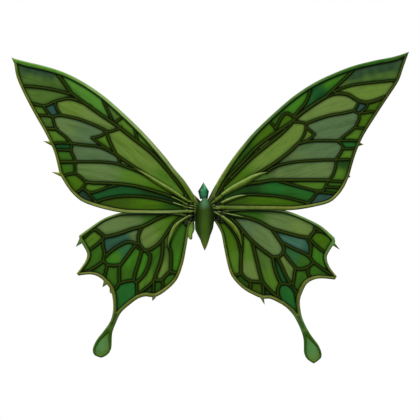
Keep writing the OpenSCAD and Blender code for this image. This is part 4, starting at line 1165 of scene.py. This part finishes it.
def make_strap(node):
    """Ribbed elastic webbing swept along its band, and the stitches that tack down its ends"""
    middle, half = middle_and_half(node, 0)
    line, at = band_line(node)
    tangent = np.gradient(line, axis=0)
    tangent /= np.linalg.norm(tangent, axis=1, keepdims=True)
    normal = np.stack([tangent[:, 1], -tangent[:, 0]], axis=1)
    u = half * np.sin(np.linspace(-math.pi / 2, math.pi / 2, WEB_POINTS))
    rise = WEB_HALF_T * np.sqrt(np.maximum(1 - np.abs(u / half) ** 12, 0.0))
    rise *= 0.93 + 0.07 * np.cos(2 * math.pi * u / RIB_PITCH)
    across = np.concatenate([u, u[-2:0:-1]])
    out = np.concatenate([rise, -rise[-2:0:-1]])
    rings = np.empty((len(line), len(across), 3))
    rings[:, :, 0] = middle + across
    rings[:, :, 1:] = line[:, None] + out[None, :, None] * normal[:, None]
    strap = swept(f"{node}_webbing", rings)
    give(strap, run=np.repeat(at, len(across)), flow=np.tile(across, len(line)))
    placed(strap, WEBBING, "elastic", node)

    def on_band(along, u, face):
        off = face * WEB_HALF_T
        y, z = [np.interp(along, at, line[:, k]) + off * np.interp(along, at, normal[:, k]) for k in (0, 1)]
        return middle + u, y, z

    tacks = []
    for row in TACK_ROWS:
        for along, ahead in ((row, row + TACK_LENGTH), (at[-1] - row, at[-1] - row - TACK_LENGTH)):
            for face in (-1, 1):
                for k in np.arange(-half + 2, half - 2, TACK_PITCH):
                    tacks.append((on_band(along, k, face), on_band(ahead, k + TACK_PITCH / 2, face)))
    placed(threads(f"{node}_tacks", tacks, 0.22), THREAD, "elastic", node, replaces=False)


for side in SIDES:
    make_strap(f"{side}_strap")


# ---- Back pad ----

PAD_CHANNELS = (-30.0, -10.5, 10.5, 30.0)
PAD_STEP = 1.7
PAD_PUFF = 1.6
PUFF_FRAMES = 20
SEAM_EASE = 1.2  # how near to a channel the cover is held down
PAD_ROUND = 7.0  # how far in from its edge the pad is rounded
GROOVE_DEPTH = 1.9
GROOVE_REACH = 1.3
WELT_R = 1.15
WELT_STEP = 1.5
WELT_SIDES = 10
STITCH_PITCH = 2.9
STITCH_HALF = 0.95
STITCH_MARGIN = 2.6
PAD_PAINT = cloth_paint("back_pad", "161c10", "323c24", 0.9, 0.6)


def swollen(pad, held, cap):
    """Blows a pad up with Cloth. Points whose held is 1 stay, and none moves more than the cap."""
    group = pad.vertex_groups.new(name="held")
    group.add(np.nonzero(held)[0].tolist(), 1.0, "REPLACE")
    puff = pad.modifiers.new("puff", "CLOTH")
    puff.settings.vertex_group_mass = "held"
    puff.settings.mass = 0.05
    puff.settings.quality = 6
    puff.settings.use_pressure = True
    puff.settings.uniform_pressure_force = 18.0
    puff.settings.tension_stiffness = puff.settings.compression_stiffness = 6.0
    puff.settings.shear_stiffness = 3.0
    puff.settings.bending_stiffness = 0.3
    puff.settings.effector_weights.gravity = 0.0
    puff.collision_settings.use_collision = False
    puff.point_cache.frame_start, puff.point_cache.frame_end = 1, PUFF_FRAMES
    for step in range(1, PUFF_FRAMES + 1):
        SCENE.frame_set(step)
    before = coordinates(pad.data)
    after = coordinates(pad.evaluated_get(bpy.context.evaluated_depsgraph_get()).data)
    move = (after - before).reshape(-1, 3)
    far = np.linalg.norm(move, axis=1, keepdims=True)
    move *= np.minimum(1, cap * MM / np.maximum(far, 1e-9))
    pad.modifiers.remove(puff)
    SCENE.frame_set(1)
    pad.data.vertices.foreach_set("co", before + move.ravel())
    pad.data.update()


def off_seam(places):
    """Each place's distance from the nearest sewn channel"""
    return np.abs(places[:, :1] - np.array(PAD_CHANNELS)).min(axis=1)


def make_pad(node):
    """A channelled cushion in one cover: plate side in front, wearer's side behind"""
    points, tris = flat_faces(node)
    edges = border(tris)
    segments = points[edges]
    middle, half_thick = middle_and_half(node)

    def plate_side(places, depth):
        return half_thick - 0.9 * (1 - smooth(depth / 2.0))

    def wearer_side(places, depth):
        round_edge = np.sqrt(1 - (1 - np.clip(depth / PAD_ROUND, 0, 1)) ** 2)
        groove = GROOVE_DEPTH * np.exp(-(off_seam(places) / GROOVE_REACH) ** 2) * rising(depth, 1, 4)
        return (half_thick + 0.6) * round_edge - groove - PAD_PUFF

    pad, places, depth = relief(
        f"{node}_cover", segments, PAD_STEP, middle, plate_side, wearer_side, sharp_deg=70.0)
    half = len(places) // 2
    is_behind = np.arange(len(places)) >= half
    seam = off_seam(places)
    swollen(pad, ~is_behind | (depth < 0.8) | (seam < SEAM_EASE), PAD_PUFF)
    give(pad, run=places[:, 1], flow=places[:, 0])
    round_off = pad.modifiers.new("smooth", "SUBSURF")
    round_off.levels = round_off.render_levels = 1
    placed(pad, PAD_PAINT, "back_pad", node)
    surface = coordinates(pad.data).reshape(-1, 3)[half:] / MM
    sew_channels(node, points, segments, surface)
    make_welt(node, points[loop_of(edges)], middle - 0.9)


def sew_channels(node, points, segments, surface):
    """Rows of stitches that lie in the pad's channels, on the places of its surface"""
    over = tree_of(surface[:, [0, 2]])

    def on_pad(x, z):
        near = over.find_n((x, z, 0.0), 3)
        return x, float(np.mean([surface[i][1] for _, i, _ in near])) + 0.12, z

    edge = tree_of(samples_along(segments))
    sewn = []
    for x in PAD_CHANNELS:
        column = np.array([(x, z) for z in np.arange(points[:, 1].min(), points[:, 1].max(), STITCH_PITCH)])
        column = column[inside(column, segments)]
        column = column[distances(column, edge) > STITCH_MARGIN]
        sewn += [(on_pad(x, z - STITCH_HALF), on_pad(x, z + STITCH_HALF)) for _, z in column]
    placed(threads(f"{node}_stitches", sewn, 0.3), THREAD, "back_pad", node, replaces=False)


def make_welt(node, ring, middle_y):
    """A piped cord round the pad, on its outline softened at the corners"""
    ring, _ = resampled(np.concatenate([ring, ring[:1]]), WELT_STEP)
    ring = ring[:-1]
    for _ in range(2):
        ring = (np.roll(ring, 1, axis=0) + 2 * ring + np.roll(ring, -1, axis=0)) / 4
    ahead = np.roll(ring, -1, axis=0) - np.roll(ring, 1, axis=0)
    outward = np.stack([ahead[:, 1], -ahead[:, 0]], axis=1) / np.linalg.norm(ahead, axis=1, keepdims=True)
    turn = np.linspace(0, 2 * math.pi, WELT_SIDES + 1)[:-1]
    rings = np.empty((len(ring), WELT_SIDES, 3))
    rings[:, :, 0] = ring[:, :1] + WELT_R * np.cos(turn) * outward[:, :1]
    rings[:, :, 2] = ring[:, 1:] + WELT_R * np.cos(turn) * outward[:, 1:]
    rings[:, :, 1] = middle_y + WELT_R * np.sin(turn)
    welt = swept(f"{node}_welt", rings, loop=True)
    give(welt, run=np.repeat(np.arange(len(ring)) * WELT_STEP, WELT_SIDES),
         flow=np.tile(turn * WELT_R, len(ring)))
    placed(welt, PAD_PAINT, "back_pad", node, replaces=False)


make_pad("back_pad")


# ---- Stage, lights and camera, in metres ----

lo, hi = CAD_BOX
centre = (lo + hi) / 2
CAMERA_DISTANCE = 4.0
FRAME_WIDTH = 0.840
FRAME_MIDDLE = (0.011, -0.002)
SENSOR = 36
FLOOR_HALF = 3.5
FLOOR_DROP = 0.55

camera_data = bpy.data.cameras.new("camera")
camera_data.sensor_width = SENSOR
camera_data.lens = SENSOR * CAMERA_DISTANCE / FRAME_WIDTH
camera_data.clip_end = 50
camera = linked("camera", camera_data)
wing_plane = middle_and_half("left_forewing_veins")[0] * MM
camera.location = (FRAME_MIDDLE[0], wing_plane - CAMERA_DISTANCE, FRAME_MIDDLE[1])
camera.rotation_euler = (math.pi / 2, 0, 0)
bpy.context.scene.camera = camera


def area_light(name, place, size, watts, tone):
    """A soft lamp that looks at the middle of the wings"""
    data = bpy.data.lights.new(name, "AREA")
    data.shape = "RECTANGLE"
    data.size, data.size_y = size
    data.energy = watts
    data.color = tone
    lamp = linked(name, data)
    lamp.location = place
    lamp.rotation_mode = "QUATERNION"
    lamp.rotation_quaternion = (centre - Vector(place)).to_track_quat("-Z", "Y")


area_light("key", (-0.7, -1.6, 2.2), (1.4, 0.9), 46.0, (1.0, 0.98, 0.94))
area_light("fill", (1.8, -2.2, 0.5), (1.6, 1.6), 14.0, (0.94, 0.97, 1.0))
area_light("back", (0.4, 2.4, 1.4), (2.0, 1.2), 26.0, (1.0, 1.0, 1.0))

# A white sky that is dimmer as a light than as the camera sees it
world = bpy.data.worlds.new("studio")
SCENE.world = world
world.use_nodes = True
tree = world.node_tree
sky = tree.nodes["Background"]
sky.inputs["Color"].default_value = (1, 1, 1, 1)
rays = tree.nodes.new("ShaderNodeLightPath")
level = tree.nodes.new("ShaderNodeMapRange")
level.inputs["To Min"].default_value = 0.32
level.inputs["To Max"].default_value = 1.0
tree.links.new(rays.outputs["Is Camera Ray"], level.inputs["Value"])
tree.links.new(level.outputs["Result"], sky.inputs["Strength"])
SCENE.view_settings.view_transform = "Standard"

floor_mesh = bpy.data.meshes.new("floor")
ways = ((-1, -1), (1, -1), (1, 1), (-1, 1))
corners = [(x * FLOOR_HALF, y * FLOOR_HALF, lo.z - FLOOR_DROP) for x, y in ways]
floor_mesh.from_pydata(corners, [], [(0, 1, 2, 3)])
floor = linked("floor", floor_mesh)
dress(floor, Paint("floor", "f2f1ee", Roughness=0.9).mat)
